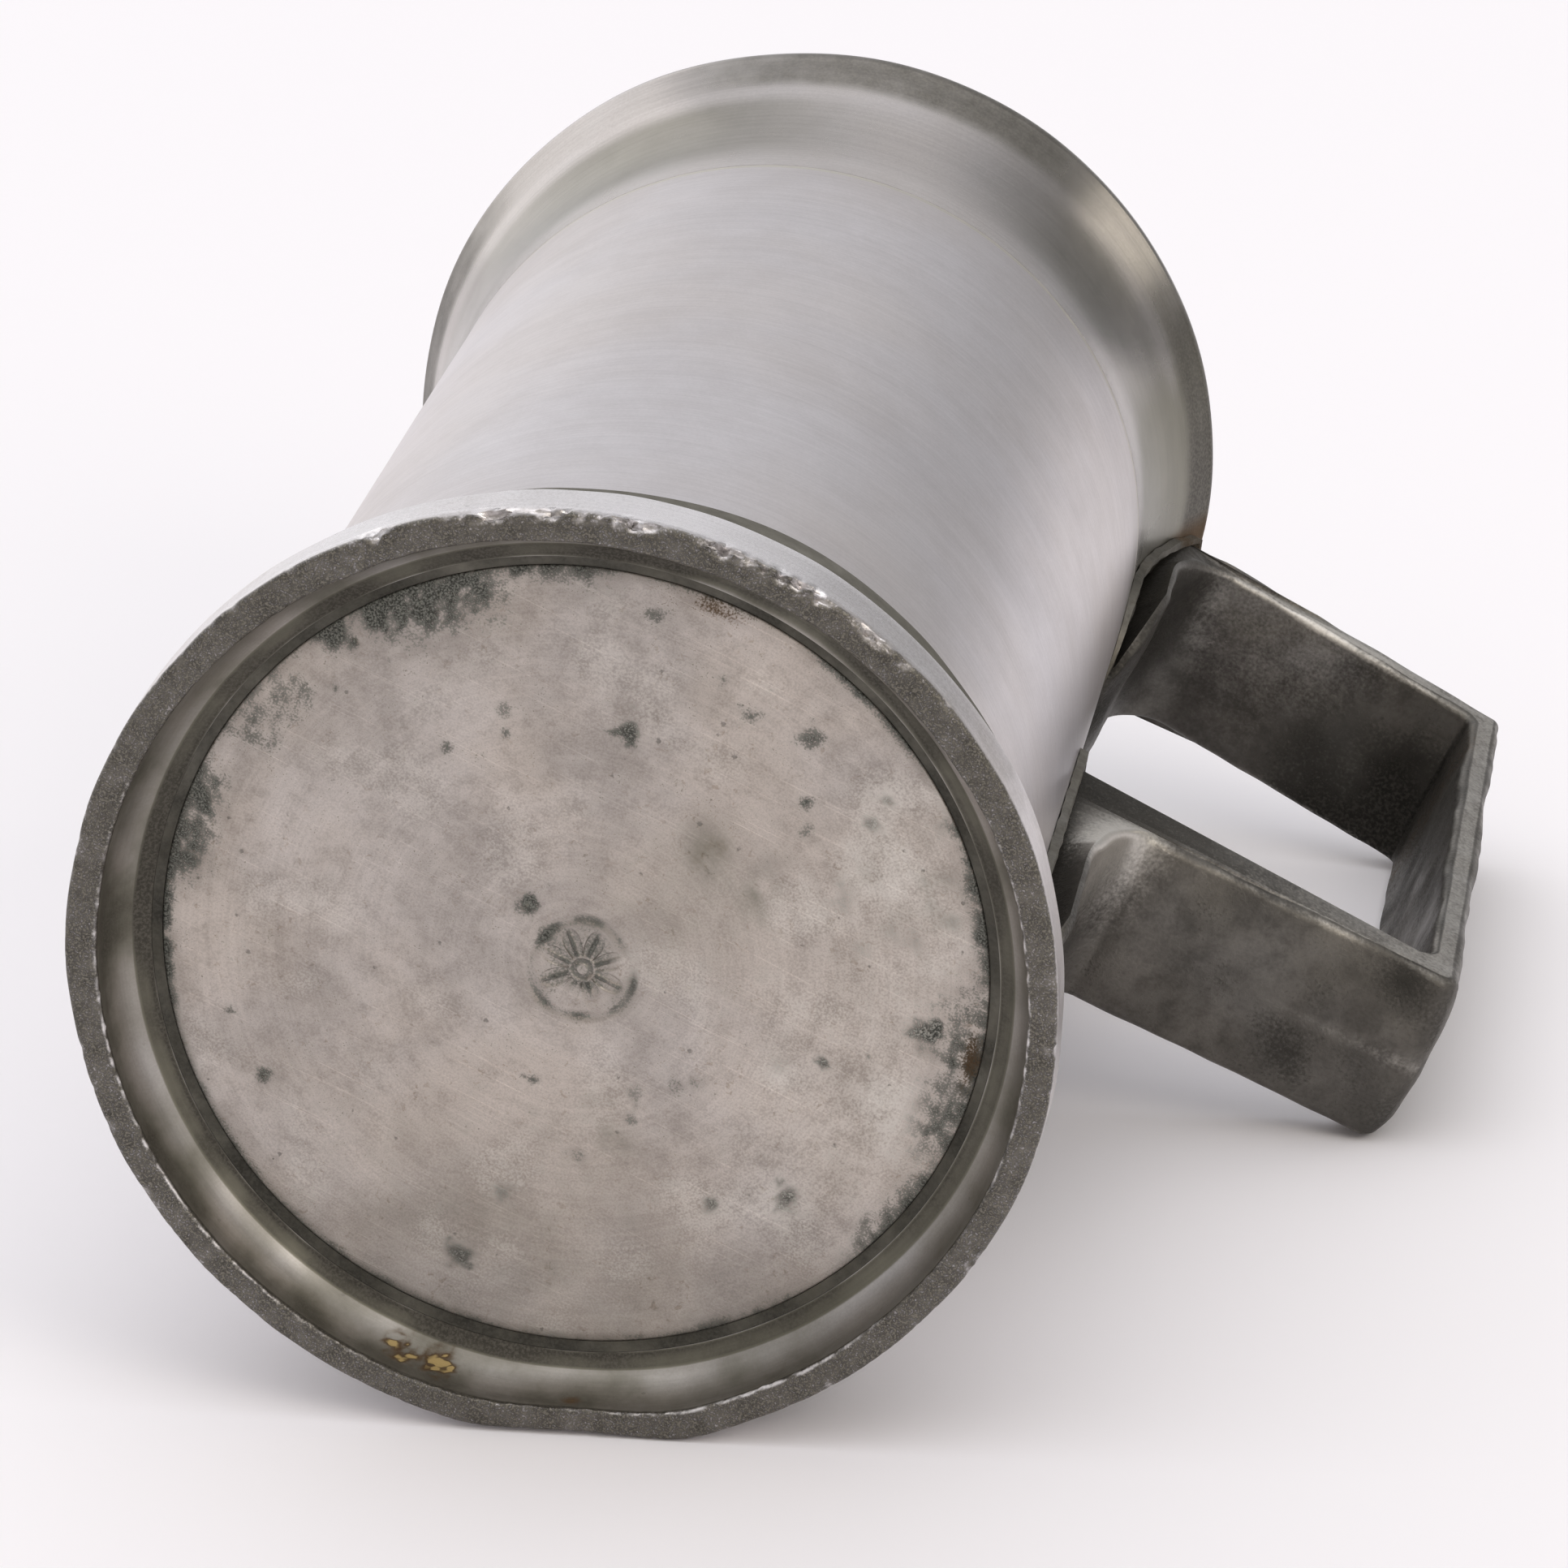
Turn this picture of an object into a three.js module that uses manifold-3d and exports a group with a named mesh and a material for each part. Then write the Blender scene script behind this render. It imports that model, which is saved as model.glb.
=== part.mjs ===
// Pewter mug of the French cylindrical kind, about half a litre: a straight barrel with a coved mouth,
// a flared foot with a sunk bottom plate, and a square strap handle. Every piece is a casting of its own,
// and solder fillets hold the castings together.
//
// Millimetres, +Z up. The mug stands on z = 0. The handle reaches out along +X. The origin is under the
// middle of the mug's outline, so the barrel's axis stands at x = AXIS_X.

import * as THREE from 'three';
import { mergeVertices } from 'three/addons/utils/BufferGeometryUtils.js';
import Module from 'manifold-3d';

// Driving dimensions: the turned castings
const FOOT_R = 43.0;             // outside of the foot ring
const FOOT_BAND_H = 5.2;         // height of the foot's upright outer band
const FOOT_BEVEL_R = 41.7;       // top of the bevel above the band
const FOOT_BEVEL_Z = 8.2;
const FOOT_TOP_Z = 14.0;         // where the foot's shoulder ends on the barrel
const FOOT_SHOULDER = { r: 41.0, z: 14.0, radius: 4.4 };
const STAND_INNER_R = 40.3;      // inner edge of the flat ring that the mug stands on
const RECESS_DEPTH = 6.4;        // standing face to the underside of the bottom plate
const RECESS_COVE = { r: 35.1, z: 1.2, radius: 5.2 };
const SEAT_R = 36.9;             // the foot's inner wall round the bottom plate
const PLATE_R = 36.0;
const PLATE_T = 2.4;
const BARREL_R = 36.2;           // outside of the barrel
const BARREL_WALL = 2.05;        // leaves the 68.3 mm bore of a half-litre measure
const SPIGOT_T = 1.15;           // tongue on the barrel's top that centres the collar
const SPIGOT_H = 2.4;
const COVE_Z = 125.5;            // where the mouth begins to flare
const COVE_END = { r: 40.7, z: 145.4 };
const LIP_R = 1.7;               // radius of the rolled lip
const RIM_R = 41.6;              // widest line of the mouth
const TOTAL_H = 149.6;

// Driving dimensions: the handle, measured from the barrel's axis
const HANDLE_REACH = 77.4;       // outside of the grip, at its crown
const HANDLE_W = 18.2;
const CROWN = 1.4;               // how far the outer face bulges between the strap's edges
const EDGE_ROUND = 0.6;
const GRIP_T = 3.0;              // thickness at the strap's edges
const ARM_TOP = { x: 45.6, z: 146.9, t: 3.3, fall: 0.17 };
const ARM_LOW = { z: 70.8, t: 4.4, rise: 0.05 };   // its upper face is level, t above z
const TAIL_T = 2.9;              // thickness of the flat tails that lie on the barrel
const TAIL_LOW_Z = 30.0;
const TAIL_TOP_Z = 116.0;
const TAIL_TIP_H = 11;           // height of a tail's rounded tip
const ROOT_FLARE = 1.13;         // how much wider the strap is where it lies on the wall

// Clearances
const SKIN = 0.06;               // between castings that sit in one another
const SOLDER_IN = 0.06;          // solder stands this far off the wall
const SOLDER_OUT = 0.56;         // and is this thick in all
const SOLDER_MARGIN = 1.1;       // how far it shows around a root
const ROOT_GAP = 0.66;           // the handle's roots stand this far off the wall

const AXIS_X = -(HANDLE_REACH - FOOT_R) / 2;
const BORE_R = BARREL_R - BARREL_WALL;
const SPIGOT_R = BORE_R + SPIGOT_T;
const SPIGOT_Z = COVE_Z - 0.8;   // the barrel's outer edge, which the solder groove separates from the cove
const SPIGOT_TOP_Z = SPIGOT_Z + SPIGOT_H;
const PLATE_TOP_Z = RECESS_DEPTH + PLATE_T;
const LIP = { r: RIM_R - LIP_R, z: TOTAL_H - LIP_R };
const TURNS = 72;                // facets round every turned piece

const wasm = await Module();
wasm.setup();

// Materials: one finish for each kind of surface
function pewter(name, color, roughness) {
  const material = new THREE.MeshStandardMaterial({ color, roughness, metalness: 0.95 });
  material.name = name;
  return material;
}
const SATIN = pewter('satin_pewter', 0xb3adae, 0.42);
const TURNED = pewter('turned_pewter', 0xa69d98, 0.48);
const AGED = pewter('aged_pewter', 0x67635a, 0.55);
const SOLDER = pewter('tin_solder', 0x8a8272, 0.5);

const at = (r, z) => new THREE.Vector2(r, z);

// Points on an arc about (r, z), from one angle to another in degrees
function arc(r, z, radius, from, to, steps) {
  return Array.from({ length: steps + 1 }, (_, i) => {
    const angle = THREE.MathUtils.degToRad(from + ((to - from) * i) / steps);
    return at(r + radius * Math.cos(angle), z + radius * Math.sin(angle));
  });
}

// A ring or disc turned about the barrel's axis. Its outline runs anticlockwise in (radius, height).
function turned(outline) {
  const onAxis = outline[0].x === 0;
  const points = onAxis ? outline : [...outline, outline[0].clone()];
  const lathe = new THREE.LatheGeometry(points, TURNS);
  lathe.rotateX(Math.PI / 2);
  return lathe;
}

function toManifold(geometry) {
  const bare = geometry.clone();
  bare.deleteAttribute('normal');
  bare.deleteAttribute('uv');
  const merged = mergeVertices(bare, 1e-4);
  const mesh = new wasm.Mesh({
    numProp: 3,
    vertProperties: new Float32Array(merged.attributes.position.array),
    triVerts: new Uint32Array(merged.index.array),
  });
  return new wasm.Manifold(mesh);
}

function toGeometry(solid) {
  const mesh = solid.getMesh();
  const geometry = new THREE.BufferGeometry();
  geometry.setAttribute('position', new THREE.BufferAttribute(mesh.vertProperties, 3));
  geometry.setIndex(new THREE.BufferAttribute(mesh.triVerts, 1));
  geometry.computeVertexNormals();
  return geometry;
}

// The cove outside the mouth is one hollow arc that leaves the barrel upright
function coveArc(steps, offset = 0) {
  const rise = COVE_END.z - COVE_Z;
  const flare = COVE_END.r - BARREL_R;
  const radius = (rise * rise + flare * flare) / (2 * flare);
  const sweep = THREE.MathUtils.radToDeg(Math.asin(rise / radius));
  return arc(BARREL_R + radius, COVE_Z, radius - offset, 180, 180 - sweep, steps);
}

const barrelOutline = [
  at(BARREL_R, PLATE_TOP_Z + SKIN),
  at(BARREL_R, SPIGOT_Z),
  at(SPIGOT_R, SPIGOT_Z),
  at(SPIGOT_R, SPIGOT_TOP_Z),
  at(BORE_R, SPIGOT_TOP_Z),
  at(BORE_R, PLATE_TOP_Z + SKIN),
];

// Collar: cove outside, rolled lip, flared throat inside, and a rebate that fits the barrel's spigot
const collarOutline = [
  at(SPIGOT_R + SKIN, COVE_Z),
  ...coveArc(8),
  ...arc(LIP.r, LIP.z, LIP_R, -35, 150, 7),
  at(36.9, 146.2),
  at(35.6, 142.4),
  at(34.6, 138.2),
  at(BORE_R, 133.0),
  at(BORE_R, SPIGOT_TOP_Z + SKIN),
  at(SPIGOT_R + SKIN, SPIGOT_TOP_Z + SKIN),
];

// Foot ring: flat standing face, upright band, bevel, hollow shoulder, seat for the plate, hollow recess
const footOutline = [
  at(STAND_INNER_R, 0),
  at(FOOT_R - 0.5, 0),
  at(FOOT_R - 0.12, 0.15),
  at(FOOT_R, 0.6),
  at(FOOT_R, FOOT_BAND_H),
  at(FOOT_BEVEL_R, FOOT_BEVEL_Z),
  at(FOOT_BEVEL_R - 0.5, FOOT_BEVEL_Z + 0.4),
  ...arc(FOOT_SHOULDER.r, FOOT_SHOULDER.z, FOOT_SHOULDER.radius, 262, 188, 5),
  at(BARREL_R + SKIN, FOOT_TOP_Z),
  at(BARREL_R + SKIN, PLATE_TOP_Z + SKIN),
  at(SEAT_R, PLATE_TOP_Z + SKIN),
  at(SEAT_R, RECESS_DEPTH - 0.3),
  ...arc(RECESS_COVE.r, RECESS_COVE.z, RECESS_COVE.radius, 62, 0, 5),
];

const plateOutline = [
  at(0, RECESS_DEPTH),
  at(PLATE_R - 0.3, RECESS_DEPTH),
  at(PLATE_R, RECESS_DEPTH + 0.3),
  at(PLATE_R, PLATE_TOP_Z),
  at(0, PLATE_TOP_Z),
];

// Solder rings: round the bottom plate, over the foot's shoulder, and in the groove under the cove
const plateSolderOutline = [
  at(PLATE_R + SKIN, RECESS_DEPTH + 0.5),
  at(SEAT_R - SKIN, RECESS_DEPTH + 0.2),
  at(SEAT_R - SKIN, PLATE_TOP_Z - SKIN),
  at(PLATE_R + SKIN, PLATE_TOP_Z - SKIN),
];
const footSolderOutline = [
  at(BARREL_R + SKIN, FOOT_TOP_Z + SKIN),
  at(BARREL_R + 0.95, FOOT_TOP_Z + SKIN),
  at(BARREL_R + 0.35, FOOT_TOP_Z + 0.5),
  at(BARREL_R + SKIN, FOOT_TOP_Z + 1.3),
];
const collarSolderOutline = [
  at(SPIGOT_R + SKIN, SPIGOT_Z + SKIN),
  at(BARREL_R, SPIGOT_Z + SKIN),
  at(BARREL_R, COVE_Z - SKIN),
  at(SPIGOT_R + SKIN, COVE_Z - SKIN),
];

// The outside of barrel and collar as one solid, moved outwards by an offset, for fitting the roots
function wallSolid(offset) {
  const outline = [
    at(0, 10),
    at(BARREL_R + offset, 10),
    ...coveArc(8, offset),
    ...arc(LIP.r, LIP.z, LIP_R + offset, -35, 90, 6),
    at(0, TOTAL_H + offset),
  ];
  return toManifold(turned(outline));
}

// Side view of the handle. Each point has its place, and the way its face looks: the strap's outer
// faces bulge that way between the edges, and every face draws back from it at the rounded edges.
// The roots run on into the wall, which cuts them off later, and the tails narrow to round tips.
function handleOutline() {
  const inside = HANDLE_REACH - CROWN - GRIP_T;
  const outside = HANDLE_REACH - CROWN;
  const tailX = BARREL_R + TAIL_T;
  const deep = BARREL_R - 6;
  const topAt = (x) => ARM_TOP.z - ARM_TOP.fall * (x - ARM_TOP.x);
  const underAt = (x) => topAt(x) - ARM_TOP.t;
  const lowAt = (x) => ARM_LOW.z - ARM_LOW.rise * (outside - x);
  const over = ARM_LOW.z + ARM_LOW.t;
  const points = [];

  const add = (x, z, nx, nz, bulge = 0, narrow = 1) => points.push({ x, z, nx, nz, bulge, narrow });

  const addArc = (x, z, radius, from, to, steps, side, bulge = 0) => {
    for (const p of arc(x, z, radius, from, to, steps)) {
      add(p.x, p.y, (side * (p.x - x)) / radius, (side * (p.y - z)) / radius, bulge);
    }
  };

  const addTail = (lowZ) => {
    const rise = TAIL_TIP_H;
    add(deep, lowZ, 0, -1, 0, 0.35);
    for (let i = 0; i <= 5; i += 1) {
      const t = (i / 5) ** 1.5;
      const thick = 0.4 + (TAIL_T - 0.4) * Math.sqrt(t);
      const narrow = ROOT_FLARE * Math.max(0.35, Math.sqrt(1 - (1 - t) ** 2));
      add(BARREL_R + thick, lowZ + rise * t, 0.9, -0.4 * (1 - t), 0, narrow);
    }
  };

  // A hollow fillet from the tail's face out to the underside of an arm, where the flare ends
  const addFillet = (armZ, across, down, bulge = 0) => {
    for (let i = 0; i <= 7; i += 1) {
      const turn = (Math.PI / 2) * (i / 7);
      const x = tailX + across * (1 - Math.cos(turn));
      const normal = at(down * Math.cos(turn), -across * Math.sin(turn)).normalize();
      const flare = 1 + (ROOT_FLARE - 1) * (1 - i / 7);
      add(x, armZ(x) - down * (1 - Math.sin(turn)), normal.x, normal.y, (bulge * i) / 7, flare);
    }
  };

  // Outer faces: lower tail, lower arm's underside, grip, upper arm's top
  addTail(TAIL_LOW_Z);
  addFillet(lowAt, 5.5, 15, 1);
  add(60, lowAt(60), 0, -1, 1);
  addArc(outside - 1.8, lowAt(outside) + 1.8, 1.8, -88, -2, 4, 1, 1);
  addArc(outside - 0.9, topAt(outside) - 0.9, 0.9, 2, 78, 3, 1, 1);
  add(60, topAt(60), 0.16, 0.98, 1);
  add(ARM_TOP.x, ARM_TOP.z, 0, 1, 0.8);
  add(ARM_TOP.x - 2.2, ARM_TOP.z - 1.1, -0.3, 0.95, 0.3, 1 + (ROOT_FLARE - 1) / 2);
  add(deep, ARM_TOP.z - 3.0, 0, 1, 0, ROOT_FLARE);

  // Inner faces: upper tail, upper arm's underside, grip, lower arm's top
  addTail(TAIL_TOP_Z);
  addFillet(underAt, 7, 11);
  addArc(inside - 1.2, underAt(inside) - 1.2, 1.2, 84, 4, 3, -1);
  addArc(inside - 1.8, over + 1.8, 1.8, -2, -88, 3, -1);
  addArc(tailX + 0.2, over + 2.2, 2.2, -92, -150, 3, -1);
  add(deep, over + 2.6, 0, 1, 0, ROOT_FLARE);
  return points;
}

// The strap: the side view carried across the handle's width, crowned in the middle and rounded at the
// edges, with a flat cap on each side
function strapGeometry() {
  const outline = handleOutline();
  const half = HANDLE_W / 2;
  const edgeRows = [0, 25, 55, 90].map((degrees) => {
    const turn = THREE.MathUtils.degToRad(degrees);
    return { y: half - EDGE_ROUND * (1 - Math.sin(turn)), inset: EDGE_ROUND * (1 - Math.cos(turn)) };
  });
  const nearRows = [{ y: half / 2, inset: 0 }, ...edgeRows];
  const farRows = nearRows.toReversed().map(({ y, inset }) => ({ y: -y, inset }));
  const rows = [...farRows, { y: 0, inset: 0 }, ...nearRows];

  const positions = [];
  for (const { y, inset } of rows) {
    const crown = CROWN * (1 - (y / half) ** 2);
    for (const p of outline) {
      const push = p.bulge * crown - inset;
      positions.push(p.x + p.nx * push, y * p.narrow, p.z + p.nz * push);
    }
  }

  const count = outline.length;
  const index = [];
  for (let row = 0; row + 1 < rows.length; row += 1) {
    for (let i = 0; i < count; i += 1) {
      const a = row * count + i;
      const b = row * count + ((i + 1) % count);
      index.push(a, b + count, b, a, a + count, b + count);
    }
  }
  const flat = outline.map((p) => at(p.x - EDGE_ROUND * p.nx, p.z - EDGE_ROUND * p.nz));
  const last = (rows.length - 1) * count;
  for (const [a, b, c] of THREE.ShapeUtils.triangulateShape(flat, [])) {
    index.push(a, b, c);
    index.push(last + a, last + c, last + b);
  }
  const geometry = new THREE.BufferGeometry();
  geometry.setAttribute('position', new THREE.Float32BufferAttribute(positions, 3));
  geometry.setIndex(index);
  return geometry;
}

// A round-ended tongue that stands across X and covers a root's place on the wall, with a margin
function tongueSolid(lowZ, highZ) {
  const half = (HANDLE_W / 2) * ROOT_FLARE + SOLDER_MARGIN;
  const tip = TAIL_TIP_H + SOLDER_MARGIN;
  const shape = new THREE.Shape();
  shape.moveTo(half, lowZ + tip);
  shape.lineTo(half, highZ);
  shape.lineTo(-half, highZ);
  shape.lineTo(-half, lowZ + tip);
  shape.absellipse(0, lowZ + tip, half, tip, Math.PI, 2 * Math.PI, false);
  const tongue = new THREE.ExtrudeGeometry(shape, { depth: 30, bevelEnabled: false, curveSegments: 10 });
  tongue.rotateX(Math.PI / 2);
  tongue.rotateZ(Math.PI / 2);
  tongue.translate(20, 0, 0);
  return toManifold(tongue);
}

const wall = wallSolid(ROOT_GAP);
const solderShell = wallSolid(SOLDER_OUT).subtract(wallSolid(SOLDER_IN));
const handle = toManifold(strapGeometry()).subtract(wall);
const upperSolder = solderShell.intersect(tongueSolid(TAIL_TOP_Z - SOLDER_MARGIN, ARM_TOP.z - 1.2));
const lowerSolder = solderShell.intersect(tongueSolid(TAIL_LOW_Z - SOLDER_MARGIN, ARM_LOW.z + ARM_LOW.t + 3.6));

const mug = new THREE.Group();
mug.position.x = AXIS_X;

function place(name, geometry, material) {
  const mesh = new THREE.Mesh(geometry, material);
  mesh.name = name;
  mug.add(mesh);
}

place('barrel', turned(barrelOutline), SATIN);
place('mouth_collar', turned(collarOutline), AGED);
place('foot_ring', turned(footOutline), TURNED);
place('bottom_plate', turned(plateOutline), TURNED);
place('handle', toGeometry(handle), AGED);
place('bottom_plate_solder', turned(plateSolderOutline), SOLDER);
place('foot_ring_solder', turned(footSolderOutline), SOLDER);
place('mouth_collar_solder', turned(collarSolderOutline), SOLDER);
place('upper_handle_solder', toGeometry(upperSolder), SOLDER);
place('lower_handle_solder', toGeometry(lowerSolder), SOLDER);

export default mug;
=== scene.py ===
import math

import bpy
import numpy as np
from mathutils import Matrix, Vector
from mathutils.geometry import tessellate_polygon


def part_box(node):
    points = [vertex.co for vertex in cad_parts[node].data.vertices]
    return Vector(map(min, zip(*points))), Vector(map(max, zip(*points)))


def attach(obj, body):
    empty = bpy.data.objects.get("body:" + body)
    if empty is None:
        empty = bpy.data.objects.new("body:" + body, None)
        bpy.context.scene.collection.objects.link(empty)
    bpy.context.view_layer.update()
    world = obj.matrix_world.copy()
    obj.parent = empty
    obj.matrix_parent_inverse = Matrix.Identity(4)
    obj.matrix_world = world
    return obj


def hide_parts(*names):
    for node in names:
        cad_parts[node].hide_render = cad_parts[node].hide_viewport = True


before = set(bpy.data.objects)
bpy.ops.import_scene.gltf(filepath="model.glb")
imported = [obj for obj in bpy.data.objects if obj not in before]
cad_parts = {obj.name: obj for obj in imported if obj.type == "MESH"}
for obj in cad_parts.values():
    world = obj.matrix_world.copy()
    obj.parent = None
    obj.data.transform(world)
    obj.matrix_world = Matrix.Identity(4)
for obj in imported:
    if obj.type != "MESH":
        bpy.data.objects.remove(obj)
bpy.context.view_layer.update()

# Looks of the pewter mug. Shapes are built in mm about the barrel's axis, with +X towards the handle,
# and go into the scene in metres. Angles round the axis are in degrees, 0 at the handle, +Y at 90.

MM = 0.001


def corners(node):
    """Lowest and highest corner of a CAD node, in mm."""
    low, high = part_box(node)
    return np.array(low) / MM, np.array(high) / MM


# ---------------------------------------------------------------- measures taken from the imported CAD
barrel_low, barrel_high = corners("barrel")
collar_low, collar_high = corners("mouth_collar")
foot_low, foot_high = corners("foot_ring")
plate_low, plate_high = corners("bottom_plate")
handle_low, handle_high = corners("handle")

AXIS = np.array([(barrel_low[0] + barrel_high[0]) / 2, 0.0, 0.0])
BARREL_R = (barrel_high[1] - barrel_low[1]) / 2
BARREL_TOP = barrel_high[2]
FOOT_R = (foot_high[1] - foot_low[1]) / 2
FOOT_TOP = foot_high[2]
RIM_R = (collar_high[1] - collar_low[1]) / 2
TOTAL_H = collar_high[2]
COVE_Z = collar_low[2]
PLATE_R = (plate_high[1] - plate_low[1]) / 2
PLATE_LOW, PLATE_TOP = plate_low[2], plate_high[2]
REACH = handle_high[0] - AXIS[0]
ROOT_FLARE = 1.13            # how much wider the strap is where it lies on the wall
HALF_W = (handle_high[1] - handle_low[1]) / 2 / ROOT_FLARE

# ---------------------------------------------------------------- measures that the boxes don't give
SKIN = 0.06                  # gap between castings
BORE_R = BARREL_R - 2.05
SPIGOT_R = BORE_R + 1.15
SPIGOT_Z = COVE_Z - 0.8
BAND_Z = 5.2                 # top of the foot's upright band
BEVEL = (41.7, 8.9)          # top of the darker step above the band
LEAN = (-84, 0.75, 20)       # where that step leans out: angle, how far in mm, half width in degrees
UPPER_LEAN = (-93, 0.4, 28)   # where band and step lean out together, in the same units
SHOULDER = (41.0, 14.0, 4.4)
STAND_R = 40.3               # inner edge of the standing face
COVE = (35.1, 1.2, 5.2)      # hollow wall of the recess
SEAT_R = 36.9
FLARE_END = (40.7, 145.4)    # where the cove meets the lip
LIP_R = 1.7
LIP_START = -35              # where the lip's round begins, in degrees
THROAT = [(36.9, 146.2), (35.6, 142.4), (34.6, 138.2), (34.15, 133.0)]
CROWN = 1.4                  # how far the handle's outer faces bulge
EDGE = 0.8                   # rounding of the strap's edges
GRIP_T = 3.0
ARM_TOP = (45.6, 146.9)
ARM_TOP_T, ARM_TOP_FALL = 3.3, 0.17
ARM_LOW_Z, ARM_LOW_RISE = 70.8, 0.05
ARM_LOW_TOP = ARM_LOW_Z + 4.4
TAIL_T, TAIL_TIP = 2.9, 11.0
TAIL_LOW_Z, TAIL_TOP_Z = 30.0, 116.0
ROOT_GAP = 0.05
LIP_GAP = 0.15               # what the wavy lip adds to that gap near the top
BEAD_WIDTH = 1.8             # how far the solder spreads from the handle's roots
BEAD_CLIMB = 0.33            # how high it climbs them, as a share of their thickness
SHARP_FROM = 40              # edges turned further than this, in degrees, are shaded sharp

# The foot has been knocked out of round: (angle, how far out in mm, half width in degrees)
OUT_OF_ROUND = [
    (64, -1.1, 10), (92, -0.42, 20), (116, -0.3, 20), (15, -0.4, 24), (50, 0.3, 5), (-26, -0.5, 16),
    (160, 0.1, 15), (-52, 0.1, 6),
]
# Dents in the barrel: (angle, height, depth, width), lengths in mm
DENTS = [(-128, 96, 0.16, 9), (-70, 52, 0.13, 12), (150, 88, 0.14, 11)]
# Chips along the foot's outer edge: (angle, depth in mm, half width in degrees)
CHIPS = [
    (-123, 0.7, 3.5), (-115, 0.55, 3.0), (-107, 0.6, 2.6), (-96, 0.75, 2.4), (-90.5, 0.5, 2.0),
    (-86, 0.8, 2.2), (-77, 0.5, 2.0), (-73, 0.35, 1.2), (-137, 0.3, 2.2), (-22, 0.35, 1.0), (8, 0.3, 1.2),
]
# Stains on the bottom: (x, y, size, strength), in mm as seen on the plate
SPOTS = [
    (-5.7, -3.0, 0.8, 1.0), (-4.8, -21.5, 0.9, 0.9), (29.5, -9.0, 1.1, 0.8), (25.8, 10.8, 0.8, 0.9),
    (-30.8, -17.2, 1.3, 1.0), (-28.3, -20.2, 1.0, 0.9), (2.9, 30.1, 1.1, 0.7), (3.9, 22.8, 0.8, 0.5),
    (-19.3, 23.1, 0.6, 0.9), (3.9, -27.6, 0.6, 0.6), (9.2, -28.4, 0.9, 0.8), (-7.4, -32.1, 0.6, 0.6),
    (20.4, 14.6, 0.5, 0.8), (-24.5, 19.0, 0.35, 0.7), (12.5, -20.5, 0.5, 0.6), (17.0, -24.0, 0.6, 0.7),
    (-15.0, -18.0, 0.6, 0.5), (14.0, 5.0, 0.5, 0.5), (8.0, 16.0, 0.7, 0.5), (10.5, 11.0, 0.5, 0.6),
    (11.3, -22.9, 0.45, 0.8), (17.1, -26.5, 0.45, 0.7), (23.0, -2.3, 0.45, 0.8), (19.7, -0.2, 0.8, 0.4),
    (0.5, -29.6, 0.5, 0.6), (-18.0, -12.3, 0.5, 0.6), (-14.0, -16.1, 0.4, 0.6), (9.9, 8.8, 0.7, 0.5),
    (12.7, 6.4, 0.6, 0.5), (1.6, 11.7, 0.35, 0.8), (18.1, -16.5, 0.9, 0.35), (24.6, -15.9, 0.9, 0.3),
]
# Stains that follow the plate's edge: (angle, radius, half width in degrees, half depth in mm, strength)
EDGE_STAINS = [
    (-135, 34.5, 10, 3.6, 1.1), (-118, 36.0, 9, 1.6, 0.9), (172, 34.5, 9, 2.0, 1.0),
    (158, 36.0, 12, 1.2, 0.8), (-166, 33.5, 8, 3.0, 0.55), (-37, 36.2, 12, 1.6, 1.0),
    (-12, 34.8, 17, 2.9, 0.75), (12, 35.6, 9, 1.7, 0.8), (-70, 36.4, 12, 0.9, 0.9),
    (-96, 36.4, 10, 0.8, 0.6), (40, 35.8, 10, 1.2, 0.35),
]
ROSETTE = (1.0, 0.3)         # place of the worn flower punch
DIRTY_SIDE = (118, 80)       # where dirt fills the bottom's corner: angle, half width in degrees


# ---------------------------------------------------------------- small tools
def smooth(low, high, value):
    t = np.clip((value - low) / (high - low), 0, 1)
    return t * t * (3 - 2 * t)


def bell(angle, centre, width):
    """1 at an angle round the axis, falling away over a width, all in degrees."""
    away = (np.degrees(angle) - centre + 180) % 360 - 180
    return np.exp(-((away / width) ** 2))


def hump(value, centre, width):
    """1 at a value, falling away over a width."""
    return np.exp(-(((value - centre) / width) ** 2))


def blot(x, y, at, size):
    """1 at a place, falling away over a size in mm."""
    return np.exp(-((np.hypot(x - at[0], y - at[1]) / size) ** 2))


def waves(points, seed, coarse, fine, count=40):
    """Smooth noise of about unit size at points in mm, with wavelengths from coarse down to fine."""
    rng = np.random.default_rng(seed)
    length = coarse * (fine / coarse) ** rng.random(count)
    way = rng.normal(size=(count, points.shape[1]))
    way /= np.linalg.norm(way, axis=1)[:, None]
    phase = rng.random(count) * 2 * np.pi
    gain = np.sqrt(length / coarse)
    total = np.zeros(len(points))
    for k in range(count):
        total += gain[k] * np.sin(points @ (way[k] * 2 * np.pi / length[k]) + phase[k])
    return total / np.sqrt((gain**2).sum() / 2)


def line(start, end, step):
    """Points from start up to, but without, end."""
    start, end = np.array(start, float), np.array(end, float)
    count = max(1, int(np.ceil(np.linalg.norm(end - start) / step)))
    return start + (end - start) * (np.arange(count) / count)[:, None]


def arc(r, z, radius, start, end, steps):
    angle = np.radians(np.linspace(start, end, steps + 1))
    return np.column_stack([r + radius * np.cos(angle), z + radius * np.sin(angle)])


def softened(points, steps):
    """A smooth curve through the points, with steps between each pair."""
    p = np.array([points[0], *points, points[-1]], float)
    out = []
    for i in range(1, len(p) - 2):
        for t in np.arange(steps) / steps:
            a, b, c, d = p[i - 1:i + 3]
            out.append(0.5 * (2 * b + (c - a) * t + (2 * a - 5 * b + 4 * c - d) * t**2
                              + (3 * b - a - 3 * c + d) * t**3))
    return np.array([*out, p[-2]])


def flare_radius():
    rise, out = FLARE_END[1] - COVE_Z, FLARE_END[0] - BARREL_R
    return (rise**2 + out**2) / (2 * out)


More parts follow.
